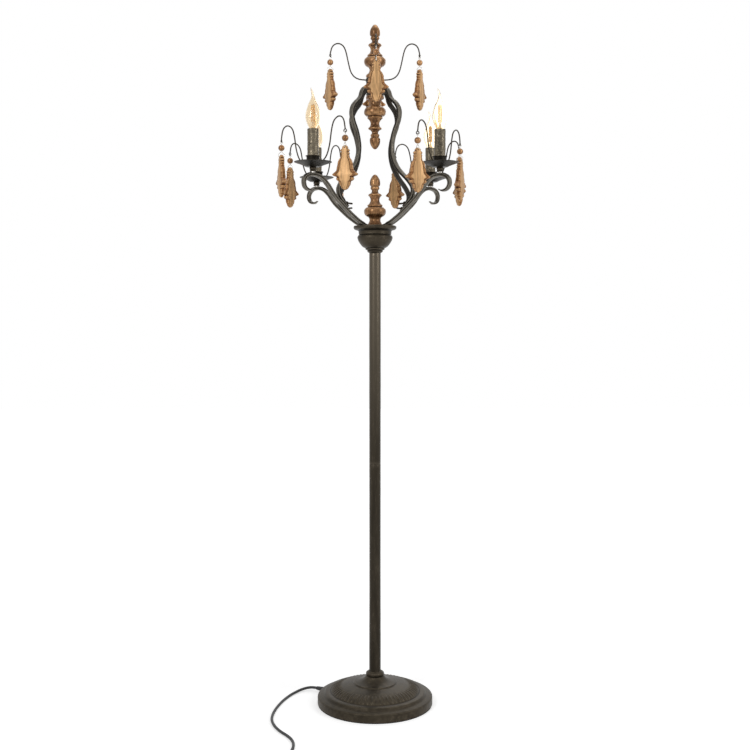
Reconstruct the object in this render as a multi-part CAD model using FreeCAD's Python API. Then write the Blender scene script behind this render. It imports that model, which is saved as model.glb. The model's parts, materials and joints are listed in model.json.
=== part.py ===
import FreeCAD, Part
import math
import os
from FreeCAD import Vector

# Candlestick floor lamp: a weighted round base, a two-piece pole, a bowl that carries four scrolled
# arms with candle lights, a lyre-shaped cage of forged bars, three turned wooden finials and
# twelve carved pendants that hang from wire hooks.
# Millimetres. +Z is up, the origin is the centre of the face that rests on the floor, and the
# front of the lamp faces -Y.

# ---------------------------------------------------------------- driving dimensions: base and pole
pad_thickness = 2.0
base_radius = 139.0
cover_wall = 2.0
base_wall_height = 17.0         # height of the straight rim above the floor
shoulder_radius = 126.0
shoulder_height = 23.0
ring_radius = 121.0             # raised ring between the shoulder and the dome
ring_height = 30.0
dome_radius = 107.0
dome_height = 50.0
dome_slope = [(88.0, 41.8), (70.0, 46.8)]   # (r, z) on the dome between the ring and the cone
cone_radius = 50.0
cone_foot_height = 52.5
base_top_radius = 21.5
base_top_height = 67.5
weight_gap = 2.0                # between the weight and the cover around it
weight_height = 44.0
weight_pocket_radius = 28.0
weight_pocket_height = 36.0
weight_slot_width = 9.5
weight_recess_inner = 44.0      # ring-shaped recess cast into the underside of the weight
weight_recess_outer = 112.0
weight_recess_depth = 18.0

pole_radius = 14.0
pole_wall = 1.5
pole_section_length = 512.0     # two equal sections
pole_end_chamfer = 0.6
collar_radius = 22.0
collar_height = 12.0
coupler_length = 60.0
insert_length = 24.0
fit_gap = 0.1                   # sliding gap between a part and the bore it stands in
joint_gap = 0.3                 # between a lyre bar and the arm it lies on
nipple_radius = 6.5
nipple_bore = 4.2
nipple_reach = 20.0             # how far a nipple enters the pole
nut_across = 20.0
nut_height = 5.0
small_nut_across = 14.0
small_nut_height = 4.0

# ---------------------------------------------------------------- driving dimensions: bowl and frame
bowl_height = 65.5
bowl_rim_radius = 52.0
bowl_neck_radius = 38.9
bowl_bulge_radius = 42.8
bowl_wall = 2.0
bowl_floor_height = 10.0
plate_seat_height = 57.0        # ledge in the bowl that carries the arm plate
plate_radius = 45.6
plate_thickness = 4.0
window_height = 24.0            # opening in the long nipple that lets the wires out

arm_count = 4
first_arm_angle = 45.0
ring_of_lights_radius = 206.0
arm_width = 11.0
arm_thickness = 10.0
arm_bore = 3.2
bar_width = 12.5
bar_thickness = 9.0
bar_edge_round = 2.0
curl_end_thickness = 4.4
lyre_lap = 28.0                 # length of a lyre bar that lies along its arm
finial_tip_gap = 60.5           # between the tips of the two finials in the cage
hub_height = 43.5
hub_block = 30.0
hub_disc_radius = 22.5
hub_disc_height = 11.5
hub_foot_height = 6.0
joint_stud_radius = 2.2
joint_stud_reach = 40.0         # from the middle of the arm inwards to the free end of a stud
joint_stud_set = 7.6            # from the middle of the arm to the root of a stud in its wall
joint_nut_across = 8.0
joint_nut_height = 3.2
joint_nut_reach = 21.0          # from the middle of the arm to the seat of the nut
lead_radius = 1.2               # wires that run through the arms to the sockets
lead_start_height = 45.0        # where they begin, above the foot of the bowl

# ---------------------------------------------------------------- driving dimensions: turned finials
finial_height = 130.0
finial_foot_radius = 21.5
finial_bulge_radius = 26.3
finial_flange_radius = 15.7
finial_acorn_radius = 12.6
finial_bore_depth = 46.0
hub_rod_radius = 5.0

# ---------------------------------------------------------------- driving dimensions: candle lights
crown_rise = 113.0              # centre line of an arm where it carries its pan, above the arm plate
pan_neck_radius = 8.0
pan_neck_height = 11.0
pan_radius = 43.5
pan_depth = 11.5
pan_wall = 1.5
pan_foot_radius = 17.0
cup_radius = 15.0
cup_wall = 1.4
cup_height = 24.0
cup_flange_radius = 17.2
cup_flange_thickness = 1.6
sleeve_radius = 13.0
sleeve_wall = 1.0
sleeve_length = 84.0
socket_radius = 11.0
socket_bore = 7.0
socket_length = 38.0
socket_floor = 3.0
socket_recess = 2.0             # top of the socket below the top of the sleeve
socket_boss_length = 12.0
arm_nipple_radius = 5.0
arm_nipple_bore = 3.4
bulb_cap_radius = 6.6
bulb_cap_length = 24.0
bulb_radius = 17.5
bulb_glass = 0.8
bulb_length = 96.0              # glass above the cap
bulb_neck_radius = 8.6

# ---------------------------------------------------------------- driving dimensions: hooks and drops
hook_wire = 1.6                 # radius
hook_eye = 3.2                  # centre-line radius of the eye at the end of a hook
hook_eye_wire = 1.2
pan_hook_reach = 101.0          # from the middle of the pan to the end of the hook
pan_hook_end = 62.0             # above the rim of the pan
top_hook_reach = 108.5
top_hook_rise = 58.5            # end of a top hook above the hub
link_wire = 0.7
link_loop = 3.0
link_play = 0.3                 # between the eye of the hook and the loop that hangs in it
bead_radius = 7.4
bead_drop = 13.6                # bead centre below the pivot in the hook
bead_bore = 0.9
pin_drop = 35.1                 # pin of the link below the pivot in the hook
pendant_above_pin = 5.5
pendant_length = 100.0
pendant_half_width = 30.0
pendant_thickness = 12.5
pendant_pin_gap = 0.5
clip_gap = 0.5
clip_slant = 5.9
top_drop_twists = (-30.0, 12.0, 30.0, 0.0)   # right, back, left, front
# the hooks on the pans are set by hand, two to a pan: how far each is turned about its candle, how
# much higher it ends, and how far its pendant is turned from facing away from the pole
pan_hook_turns = (-4.0, 16.0, 8.0, 6.0, 4.0, 2.0, 11.0, 12.0)
pan_hook_lifts = (-5.0, 0.0, 0.0, -10.0, 0.0, 3.0, -4.0, -4.0)
pan_drop_twists = (0.0, -28.0, 69.0, -18.0, 0.0, 0.0, 0.0, -8.0)

# ---------------------------------------------------------------- driving dimensions: cord
cord_radius = 3.25
cord_exit_angle = 150.0
cord_exit_height = 9.0
inner_bend_radius = 20.0        # of the cable under the pole
grommet_hole_radius = 6.0
grommet_bore_gap = 0.15
grommet_flange_radius = 7.2
grommet_flange_thickness = 2.0
grommet_tip_radius = 4.4
relief_length = 24.0
coil_centre = Vector(-162.5, -372.0, 0)
coil_mean_radius = 36.0
coil_layers = 2
coil_rows = 3
coil_gap = 0.1
plug_length = 32.0
plug_width = 24.0
plug_height = 19.0
plug_round = 3.5
plug_relief_length = 20.0
tail_length = 46.0              # cord between the coil and the plug
blade_length = 17.0
blade_width = 6.3
blade_thickness = 1.5
blade_spacing = 12.7

# ---------------------------------------------------------------- heights that follow
pole_foot_height = base_top_height
pole_joint_height = pole_foot_height + pole_section_length
bowl_base_height = pole_foot_height + 2 * pole_section_length
plate_top_height = bowl_base_height + plate_seat_height + plate_thickness
crown_height = plate_top_height + crown_rise
hub_base_height = plate_top_height + 2 * finial_height + finial_tip_gap
hub_top_height = hub_base_height + hub_height
top_hook_end = hub_top_height + top_hook_rise
arm_top_height = crown_height + arm_thickness / 2
pan_floor_height = arm_top_height + pan_neck_height
pan_rim_height = pan_floor_height + pan_depth
cup_base_height = pan_floor_height + pan_wall
sleeve_base_height = cup_base_height + cup_wall
sleeve_top_height = sleeve_base_height + sleeve_length
socket_top_height = sleeve_top_height - socket_recess
socket_base_height = socket_top_height - socket_length
bulb_base_height = sleeve_top_height - 1.0
pivot_below_hook = 2 * hook_eye + hook_eye_wire * 0.8   # where the loop of a link hangs in the eye
grommet_bore = cord_radius + grommet_bore_gap
relief_start = base_radius + grommet_flange_thickness
cord_end_reach = relief_start + relief_length           # from the axis to the tip of the strain relief
cord_floor = cord_radius + coil_gap                     # centre of the cord where it lies on the floor

# ---------------------------------------------------------------- centre lines of the frame, (r, z)
wire_hole_radius = 34.0
arm_foot_radius = 27.0
arm_foot_height = plate_top_height + arm_thickness / 2 + 0.1
arm_shape = [(0, 0), (0.1061, 0.0278), (0.2291, 0.1335), (0.3743, 0.2817), (0.5140, 0.4532),
             (0.6369, 0.6061), (0.7374, 0.8100), (0.8547, 0.9583), (1, 1)]   # shares of reach and rise
arm_line = [(arm_foot_radius + r * (ring_of_lights_radius - arm_foot_radius),
             arm_foot_height + z * (crown_height - arm_foot_height)) for r, z in arm_shape]
curl_shape = [(21, -4.5), (30.5, -18.5), (25, -34.5), (9, -39.5), (-3, -34.5)]   # from the crown
curl_line = [(ring_of_lights_radius + r, crown_height + z) for r, z in curl_shape]
curl_half_thicknesses = [4.9, 4.5, 3.9, 3.2, curl_end_thickness / 2]
joint_radius, joint_height = arm_line[4]        # where a lyre bar crosses its arm
joint_stud_height = joint_height - 0.5
joint_stud_inner = joint_radius - joint_stud_reach
joint_stud_root = joint_radius - joint_stud_set
joint_nut_seat = joint_radius - joint_nut_reach
lyre_swell = [(63, 0.9325), (80.5, 0.8274), (76, 0.7373), (61, 0.6398), (54, 0.5047), (62, 0.3846),
              (80, 0.2908)]                     # radius, and share of the height of the cage
lyre_foot = [(-14, 0.2158), (5, 0.1370), (4, 0.0732)]   # the same, from the joint outwards
lyre_line = [(hub_block / 2 - 2, hub_base_height + 19.6), (38, hub_base_height + 14)]
for radius, share in lyre_swell + [(joint_radius + r, share) for r, share in lyre_foot]:
    lyre_line.append((radius, joint_height + share * (hub_base_height - joint_height)))

up = Vector(0, 0, 1)
arc_share = 0.45                # part of a run that the arc at its corner may use
os.makedirs("parts", exist_ok=True)


# ---------------------------------------------------------------- helpers
def save(name, *solids):
    """Writes one node, as a single solid or as a group of separate ones."""
    shape = solids[0] if len(solids) == 1 else Part.makeCompound(list(solids))
    shape.exportStep("parts/" + name + ".step")


def turned(shape, angle):
    """A copy turned about the axis of the lamp."""
    return shape.rotated(Vector(0, 0, 0), up, angle)


def around(shape, first, count=arm_count):
    return [turned(shape, first + k * 360.0 / count) for k in range(count)]


def smooth(points):
    """A smooth curve through (r, z) points."""
    curve = Part.BSplineCurve()
    curve.interpolate([Vector(r, 0, z) for r, z in points])
    return curve.toShape()


def revolved(stretches, axis_at=0.0):
    """A turned solid. Each stretch is a list of (r, z) points: two are a straight line, more are a
    smooth curve. Gaps between stretches, and back to the first, are closed with straight lines."""
    edges = []
    last = stretches[-1][-1]
    for stretch in stretches:
        if math.dist(last, stretch[0]) > 1e-6:
            edges.append(Part.makeLine(Vector(last[0], 0, last[1]), Vector(stretch[0][0], 0, stretch[0][1])))
        if len(stretch) > 2:
            edges.append(smooth(stretch))
        elif len(stretch) == 2:
            edges.append(Part.makeLine(*[Vector(r, 0, z) for r, z in stretch]))
        last = stretch[-1]
    face = Part.Face(Part.Wire(edges))
    solid = face.revolve(Vector(0, 0, 0), up, 360)
    return solid.translated(Vector(axis_at, 0, 0))


def cylinder(radius, low, high, x=0.0, y=0.0):
    return Part.makeCylinder(radius, high - low, Vector(x, y, low), up)


def tube(radius, bore, low, high, x=0.0):
    return cylinder(radius, low, high, x).cut(cylinder(bore, low - 1, high + 1, x))


def hexagon(across, low, height, bore=0.0):
    """A hexagonal nut that stands on the height low."""
    corner = across / math.sqrt(3)
    points = [Vector(corner * math.cos(math.radians(a)), corner * math.sin(math.radians(a)), low)
              for a in range(0, 361, 60)]
    solid = Part.Face(Part.makePolygon(points)).extrude(up * height)
    if bore:
        solid = solid.cut(cylinder(bore, low - 1, low + height + 1))
    return solid


def rounded_path(points, radii=None):
    """A polyline with tangent arcs at its corners, each as large as its shorter run allows."""
    edges = []
    start = points[0]
    for before, corner, after in zip(points, points[1:], points[2:]):
        into = (corner - before).normalize()
        out = (after - corner).normalize()
        half_turn = into.getAngle(out) / 2
        leg = arc_share * min((corner - before).Length, (after - corner).Length)
        radius = leg / math.tan(half_turn)
        if radii is not None:
            radii.append(radius)
        first = corner - into * leg
        last = corner + out * leg
        inward = (out - into).normalize()
        middle = corner + inward * (radius / math.cos(half_turn) - radius)
        edges.append(Part.makeLine(start, first))
        edges.append(Part.Arc(first, middle, last).toShape())
        start = last
    edges.append(Part.makeLine(start, points[-1]))
    return edges


def swept(points, radius, radii=None):
    """A round wire or tube along a rounded path."""
    path = Part.Wire(rounded_path(points, radii=radii))
    ring = Part.Wire(Part.makeCircle(radius, points[0], points[1] - points[0]))
    return path.makePipeShell([ring], True, False)


def forged_bar(points, half_thicknesses, width):
    """A bar forged from flat stock: a side view in the plane of X and Z, drawn about a centre line
    of (r, z) points with a thickness at each, extruded across and rounded along its edges."""
    sides = []
    for side in (1, -1):
        line = []
        for k, (r, z) in enumerate(points):
            before = points[max(k - 1, 0)]
            after = points[min(k + 1, len(points) - 1)]
            into = Vector(r - before[0], 0, z - before[1])
            out = Vector(after[0] - r, 0, after[1] - z)
            into = (into if k else out).normalize()
            out = (out if k < len(points) - 1 else into).normalize()
            across = Vector(-into.z - out.z, 0, into.x + out.x).normalize()
            reach = half_thicknesses[k] / math.cos(into.getAngle(out) / 2)
            line.append(Vector(r, 0, z) + across * (side * reach))
        sides.append(line)
    left, right = sides
    outline = rounded_path(left) + [Part.makeLine(left[-1], right[-1])]
    outline += list(reversed(rounded_path(right)))
    outline.append(Part.makeLine(right[0], left[0]))
    face = Part.Face(Part.Wire(Part.__sortEdges__(outline)))
    bar = face.extrude(Vector(0, width, 0)).translated(Vector(0, -width / 2, 0))
    rims = [e for e in bar.Edges
            if abs(abs(e.CenterOfMass.y) - width / 2) < 1e-4 and e.BoundBox.YLength < 1e-4]
    return bar.makeFillet(bar_edge_round, rims)


# ---------------------------------------------------------------- base
def base_pad():
    return cylinder(base_radius - 1, 0, pad_thickness)


def base_cover():
    """A spun shell: straight rim, shoulder, ring, fluted dome and a small cone under the pole."""
    outside = [
        [(base_radius, pad_thickness), (base_radius, base_wall_height)],
        [(base_radius, base_wall_height), (base_radius - 0.8, base_wall_height + 3),
         (base_radius - 3, base_wall_height + 4.6)],
        [(shoulder_radius, shoulder_height)],
        [(shoulder_radius, shoulder_height), (shoulder_radius - 3.4, shoulder_height + 2.2),
         (ring_radius, ring_height - 1.5)],
        [(ring_radius - 1.2, ring_height)],
        [(dome_radius + 2, ring_height + 1.2)],
        [(dome_radius + 0.8, ring_height)],
        [(dome_radius, ring_height + 0.4), (dome_radius - 8, ring_height + 6)] + dome_slope
        + [(cone_radius + 2, dome_height)],
        [(cone_radius + 0.6, cone_foot_height)],
        [(cone_radius - 1, cone_foot_height), (38, 55.5), (28, 60.6), (base_top_radius, base_top_height)],
    ]
    inside = [
        [(nipple_radius + 0.5, base_top_height)],
        [(nipple_radius + 0.5, base_top_height - cover_wall)],
        [(base_top_radius - cover_wall, base_top_height - cover_wall - 1), (26.5, 58.2),
         (37.2, 53.2), (cone_radius - 2, cone_foot_height - 2.4)],
        [(cone_radius, dome_height - cover_wall)],
        [(r - 0.4, z - cover_wall) for r, z in reversed(dome_slope)]
        + [(dome_radius - 9, ring_height + 4), (dome_radius - 1.5, ring_height - cover_wall)],
        [(ring_radius - 3, ring_height - cover_wall)],
        [(shoulder_radius - 4.6, shoulder_height - cover_wall + 0.6)],
        [(shoulder_radius, shoulder_height - cover_wall)],
        [(base_radius - 4, base_wall_height + 4.6 - cover_wall)],
        [(base_radius - cover_wall, base_wall_height)],
        [(base_radius - cover_wall, pad_thickness)],
    ]
    shell = revolved(outside + inside)
    hole = Part.makeCylinder(grommet_hole_radius, 2 * cover_wall + 4,
                             Vector(base_radius - cover_wall - 2, 0, cord_exit_height), Vector(1, 0, 0))
    return shell.cut(turned(hole, cord_exit_angle))


def base_weight():
    """Cast weight with a pocket where the cord turns up into the nipple, a slot for the cord and a
    ring-shaped recess under it."""
    outer = base_radius - cover_wall - weight_gap
    block = revolved([
        [(0, pad_thickness), (outer, pad_thickness)],
        [(outer, base_wall_height - 1)],
        [(shoulder_radius - 6, shoulder_height - cover_wall - weight_gap)],
        [(dome_radius - 8, ring_height - cover_wall - weight_gap)],
        [(dome_slope[1][0], weight_height - 4), (cone_radius, weight_height)],
        [(0, weight_height)],
    ])
    block = block.cut(cylinder(weight_pocket_radius, pad_thickness - 1, weight_pocket_height))
    block = block.cut(cylinder(nipple_radius + 0.5, 0, weight_height + 1))
    block = block.cut(tube(weight_recess_outer, weight_recess_inner, pad_thickness - 1,
                           pad_thickness + weight_recess_depth))
    slot_height = cord_exit_height - pad_thickness + weight_slot_width / 2
    slot = Part.makeBox(outer + 1, weight_slot_width, slot_height + 1,
                        Vector(0, -weight_slot_width / 2, pad_thickness - 1))
    return block.cut(turned(slot, cord_exit_angle))


def base_collar():
    low = base_top_height
    return revolved([
        [(pole_radius + fit_gap, low), (collar_radius - 2, low)],
        [(collar_radius - 0.5, low + 1.5)],
        [(collar_radius - 0.5, low + 1.5), (collar_radius, low + 5), (collar_radius - 0.9, low + 8)],
        [(collar_radius - 4, low + 10), (pole_radius + 1, low + collar_height)],
        [(pole_radius + fit_gap, low + collar_height)],
    ])


# ---------------------------------------------------------------- pole
def pole_section(low):
    high = low + pole_section_length
    bore = pole_radius - pole_wall
    return revolved([
        [(bore, low), (pole_radius - pole_end_chamfer, low)],
        [(pole_radius, low + pole_end_chamfer), (pole_radius, high - pole_end_chamfer)],
        [(pole_radius - pole_end_chamfer, high), (bore, high)],
    ])


def pole_insert(low):
    """Ring that threads onto a nipple and centres one end of the pole."""
    return tube(pole_radius - pole_wall - fit_gap, nipple_radius + fit_gap / 2, low, low + insert_length)


def pole_coupler():
    radius = pole_radius - pole_wall - fit_gap
    return tube(radius, nipple_radius, pole_joint_height - coupler_length / 2,
                pole_joint_height + coupler_length / 2)


def threaded_nipples():
    """Threaded tubes: one through the base, a long one from the pole through the bowl and the arm
    plate into the lower finial, a solid rod through the hub, and one for each candle light."""
    base = tube(nipple_radius, nipple_bore, weight_pocket_height - nut_height - 2,
                pole_foot_height + nipple_reach)
    long_low = bowl_base_height - nipple_reach
    long_high = plate_top_height + finial_bore_depth - 1
    long_one = tube(nipple_radius, nipple_bore, long_low, long_high)
    window = Part.makeBox(4 * nipple_radius, 2 * nipple_bore, window_height,
                          Vector(0, -nipple_bore, bowl_base_height + bowl_floor_height + nut_height + 2))
    rod = cylinder(hub_rod_radius, hub_base_height - finial_bore_depth + 1,
                   hub_top_height + finial_bore_depth - 1)
    light = tube(arm_nipple_radius, arm_nipple_bore, crown_height + arm_bore, socket_base_height - 1,
                 ring_of_lights_radius)
    return [base, long_one.cut(window), rod] + around(light, first_arm_angle)


def lock_nuts():
    """Nuts under and over the weight, on the bowl floor, under the arm plate and in each candle cup."""
    bore = nipple_radius + fit_gap / 2
    heights = (weight_pocket_height - nut_height, weight_height,
               bowl_base_height + bowl_floor_height,
               bowl_base_height + plate_seat_height - nut_height)
    small = hexagon(small_nut_across, sleeve_base_height, small_nut_height, arm_nipple_radius + fit_gap / 2)
    small = small.translated(Vector(ring_of_lights_radius, 0, 0))
    large = [hexagon(nut_across, height, nut_height, bore) for height in heights]
    return large + around(small, first_arm_angle)


# ---------------------------------------------------------------- bowl
def arm_bowl():
    """The cup-shaped body on top of the pole: foot, bulge, neck and a wide rolled rim."""
    low = bowl_base_height
    neck = bowl_neck_radius
    bulge = bowl_bulge_radius
    rim = bowl_rim_radius
    return revolved([
        [(nipple_radius + 0.3, low), (pole_radius, low)],
        [(pole_radius, low), (19.6, low + 5), (22.2, low + 8)],
        [(22.6, low + 10.6)],
        [(22.6, low + 10.6), (29, low + 14.8), (35.4, low + 22), (40.4, low + 30), (bulge, low + 36.5)],
        [(bulge, low + 36.5), (bulge - 1.8, low + 41), (neck + 0.2, low + 45)],
        [(neck - 0.6, low + 46)],
        [(neck - 0.6, low + 47)],
        [(neck + 0.2, low + 48), (neck + 3, low + 52.5), (rim - 4.2, low + 56), (rim - 0.9, low + 59.5),
         (rim, low + 63)],
        [(rim - 0.8, low + bowl_height)],
        [(rim - bowl_wall, low + bowl_height)],
        [(rim - bowl_wall, low + plate_seat_height + plate_thickness)],
        [(plate_radius + 0.4, low + plate_seat_height + plate_thickness)],
        [(plate_radius + 0.4, low + plate_seat_height)],
        [(neck - bowl_wall - 0.6, low + plate_seat_height)],
        [(neck - bowl_wall - 0.6, low + 46)],
        [(bulge - bowl_wall, low + 37)],
        [(bulge - bowl_wall, low + 35)],
        [(28, low + 17)],
        [(19, low + bowl_floor_height), (nipple_radius + 0.3, low + bowl_floor_height)],
    ])


def arm_plate():
    low = bowl_base_height + plate_seat_height
    plate = tube(plate_radius, nipple_radius + 0.3, low, low + plate_thickness)
    holes = around(cylinder(arm_bore, low - 1, low + plate_thickness + 1, wire_hole_radius), first_arm_angle)
    return plate.cut(Part.makeCompound(holes))


# ---------------------------------------------------------------- arms and lyre bars
def light_arm():
    """A scrolled arm: a hollow bar from the arm plate up to the crown that carries the pan, and
    then a solid curl that tapers to its end."""
    halves = [arm_thickness / 2] * len(arm_line) + curl_half_thicknesses
    bar = forged_bar(arm_line + curl_line, halves, arm_width)
    bore_line = [(arm_foot_radius - 4, arm_foot_height)] + arm_line[1:]
    cuts = [
        swept([Vector(r, 0, z) for r, z in bore_line], arm_bore),
        cylinder(arm_bore, arm_foot_height - arm_thickness, arm_foot_height, wire_hole_radius),
        cylinder(arm_nipple_radius + fit_gap / 2, crown_height + arm_bore, crown_height + arm_thickness,
                 ring_of_lights_radius),
        cylinder(arm_nipple_bore, crown_height, crown_height + arm_thickness, ring_of_lights_radius),
        stud_hole(joint_stud_root + fit_gap),
    ]
    for cut in cuts:
        bar = bar.cut(cut)
    return bar


def stud_hole(far):
    near = joint_stud_inner
    return Part.makeCylinder(joint_stud_radius + fit_gap, far - near, Vector(near, 0, joint_stud_height),
                             Vector(1, 0, 0))


def lyre_bar():
    """A forged bar that leaves the hub, swells out, draws in at the waist and comes down on the
    upper side of its arm, where a nut holds it on a stud."""
    run = Vector(joint_radius - arm_line[3][0], 0, joint_height - arm_line[3][1]).normalize()
    above = Vector(-run.z, 0, run.x) * ((arm_thickness + bar_thickness) / 2 + joint_gap)
    joint = Vector(joint_radius, 0, joint_height) + above + run * 2
    end = joint - run * lyre_lap
    line = lyre_line + [(joint.x, joint.z), (end.x, end.z)]
    bar = forged_bar(line, [bar_thickness / 2] * len(line), bar_width)
    bar = bar.cut(stud_hole(joint_stud_root))
    hub_corner = Vector(fit_gap - hub_block / 2, -bar_width, lyre_line[0][1] - 2 * bar_thickness)
    bar = bar.cut(Part.makeBox(hub_block, 2 * bar_width, 4 * bar_thickness, hub_corner))
    spot_face = Part.makeCylinder(joint_nut_across / math.sqrt(3) + 4 * fit_gap, 2 * bar_thickness,
                                  Vector(joint_nut_seat, 0, joint_stud_height), Vector(-1, 0, 0))
    return bar.cut(spot_face)


def lying(shape, at):
    """Turns a shape that stands on the origin to lie outward along the radius."""
    flat = shape.rotated(Vector(0, 0, 0), Vector(0, 1, 0), 90)
    return flat.translated(Vector(at, 0, joint_stud_height))


def joint_stud():
    """Stud set in the wall of the arm, with the nut that clamps the lyre bar on it."""
    stud = lying(cylinder(joint_stud_radius, 0, joint_stud_root - joint_stud_inner), joint_stud_inner)
    nut = lying(hexagon(joint_nut_across, 0, joint_nut_height, joint_stud_radius + fit_gap / 2),
                joint_nut_seat - joint_nut_height)
    return [stud, nut]


# ---------------------------------------------------------------- hub and finials
def top_hub():
    """Square block that takes the lyre bars, between a foot and a disc that takes the hooks."""
    low = hub_base_height
    foot = revolved([
        [(0, low), (finial_foot_radius - 1, low)],
        [(finial_foot_radius - 1, low), (finial_foot_radius, low + 2.5),
         (hub_block / 2, low + hub_foot_height)],
        [(0, low + hub_foot_height)],
    ])
    block = Part.makeBox(hub_block, hub_block, hub_height - hub_disc_height - hub_foot_height,
                         Vector(-hub_block / 2, -hub_block / 2, low + hub_foot_height))
    disc_low = hub_top_height - hub_disc_height
    disc = revolved([
        [(0, disc_low), (hub_disc_radius - 2, disc_low)],
        [(hub_disc_radius - 2, disc_low), (hub_disc_radius, disc_low + 4), (hub_disc_radius, disc_low + 7),
         (hub_disc_radius - 2, hub_top_height)],
        [(0, hub_top_height)],
    ])
    hub = foot.fuse([turned(block, first_arm_angle), disc]).removeSplitter()
    return hub.cut(cylinder(hub_rod_radius + fit_gap, low - 1, hub_top_height + 1))


def finial(rod_radius):
    """A turned wooden finial that stands on z = 0: foot ring, neck, bulge, vase, flange and acorn."""
    top = finial_height
    bulge = finial_bulge_radius
    flange = finial_flange_radius
    acorn = finial_acorn_radius
    foot = finial_foot_radius
    solid = revolved([
        [(0, 0), (foot - 1.2, 0)],
        [(foot - 1.2, 0), (foot, 2.2), (foot, 6.4), (foot - 1.6, 8.8)],
        [(foot - 4.4, 10.4)],
        [(foot - 4.4, 10.4), (14.4, 15), (13.7, 20), (17.6, 26.6), (21.6, 30), (24.8, 33.6),
         (bulge, 40.2), (24.9, 46), (21.8, 49.6)],
        [(18.8, 50.6)],
        [(18.8, 50.6), (16.8, 56), (13.2, 61), (11, 66.6), (11.9, 72.6), (13.8, 76.2), (flange, 78.6)],
        [(flange, 78.6), (flange + 0.3, 80), (flange - 0.4, 81.6)],
        [(flange - 0.4, 81.6), (10.2, 85.4), (7.7, 89.6), (8.6, 92.6), (10.1, 95)],
        [(10.1, 95), (10.6, 98), (10.2, 100.4)],
        [(acorn - 0.8, 101.2), (acorn, 107), (11.4, 116.6), (7.4, 124), (3.6, 128.6), (0, top)],
    ])
    return solid.cut(cylinder(rod_radius + fit_gap, -1, finial_bore_depth))


# ---------------------------------------------------------------- candle lights
def pan_neck():
    low = arm_top_height
    high = pan_floor_height
    radius = pan_neck_radius
    bore = arm_nipple_radius + fit_gap
    return revolved([
        [(bore, low + 0.05), (radius - 1, low + 0.05)],
        [(radius - 1, low + 0.05), (radius, low + 1.5), (radius - 1.4, low + 3)],
        [(radius - 1.4, low + 3), (radius, low + 6), (radius - 1, high)],
        [(bore, high)],
    ], ring_of_lights_radius)


def drip_pan():
    """A shallow dish with a thin rim that opens in an even curve from a flat foot."""
    low = pan_floor_height
    rim = pan_rim_height
    return revolved([
        [(arm_nipple_radius + fit_gap, low), (pan_foot_radius, low)],
        [(pan_foot_radius, low), (24, low + 3.6), (34, low + 7.4), (pan_radius, rim - 0.8)],
        [(pan_radius, rim)],
        [(pan_radius - 1.2, rim), (33.4, low + 9), (23.4, low + 5.3),
         (pan_foot_radius - 0.6, low + pan_wall)],
        [(arm_nipple_radius + fit_gap, low + pan_wall)],
    ], ring_of_lights_radius)


def candle_cup():
    low = cup_base_height
    high = low + cup_height
    flange = high - cup_flange_thickness
    return revolved([
        [(arm_nipple_radius + fit_gap, low), (cup_radius - 2, low)],
        [(cup_radius - 2, low), (cup_radius - 0.4, low + 1.2), (cup_radius, low + 4)],
        [(cup_radius, flange)],
        [(cup_flange_radius, flange + 0.2)],
        [(cup_flange_radius, high - 0.2)],
        [(cup_radius, high)],
        [(cup_radius - cup_wall, high)],
        [(cup_radius - cup_wall, low + cup_wall)],
        [(arm_nipple_radius + fit_gap, low + cup_wall)],
    ], ring_of_lights_radius)


def lamp_socket():
    """Phenolic candle socket with a threaded boss that stands on the nipple."""
    body = tube(socket_radius, socket_bore, socket_base_height + socket_floor, socket_top_height,
                ring_of_lights_radius)
    floor = cylinder(socket_radius, socket_base_height, socket_base_height + socket_floor,
                     ring_of_lights_radius)
    boss = tube(arm_nipple_radius + 3, arm_nipple_radius + fit_gap / 2,
                socket_base_height - socket_boss_length, socket_base_height, ring_of_lights_radius)
    return body.fuse([floor, boss]).removeSplitter()


def candle_sleeve():
    return tube(sleeve_radius, sleeve_radius - sleeve_wall, sleeve_base_height, sleeve_top_height,
                ring_of_lights_radius)


def bulb_cap():
    """Screw cap, solid with its contact, up to the neck of the glass."""
    low = bulb_base_height - bulb_cap_length
    return revolved([
        [(0, low), (2.4, low), ],
        [(4.4, low + 3)],
        [(bulb_cap_radius, low + 4)],
        [(bulb_cap_radius, bulb_base_height - 1)],
        [(bulb_neck_radius - bulb_glass, bulb_base_height)],
        [(bulb_neck_radius - bulb_glass, bulb_base_height + 2)],
        [(0, bulb_base_height + 2)],
    ], ring_of_lights_radius)


def bulb_glass_shell():
    """Candle-shaped glass drawn out to a long thin tip."""
    low = bulb_base_height + 0.1
    widest = bulb_radius
    neck = bulb_neck_radius
    outer = [(neck, low), (neck + 2.2, low + 6), (widest - 1.2, low + 20), (widest, low + 31),
             (widest - 2.6, low + 45), (10.4, low + 59), (5, low + 71), (2.5, low + 83),
             (0, low + bulb_length)]
    inner = [(0, low + bulb_length - 10), (1.4, low + 80), (4, low + 70), (9.5, low + 58.4),
             (widest - 2.6 - bulb_glass, low + 44.8), (widest - bulb_glass, low + 31),
             (widest - 1.2 - bulb_glass, low + 20.2), (neck + 2.2 - bulb_glass, low + 6.3),
             (neck - bulb_glass + 0.05, low)]
    return revolved([outer, inner], ring_of_lights_radius)


# ---------------------------------------------------------------- hooks
def hook(points, facing):
    """A bent wire in the plane of X and Z that ends in a small eye. The eye's plane makes the angle
    facing with the plane of the hook."""
    line = [Vector(x, 0, z) for x, z in points]
    wire = swept(line, hook_wire)
    end = line[-1]
    eye = Part.makeTorus(hook_eye, hook_eye_wire, end - up * (pivot_below_hook - hook_eye), Vector(0, 1, 0))
    eye = eye.rotated(end, up, facing)
    return wire.fuse(eye)


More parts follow.
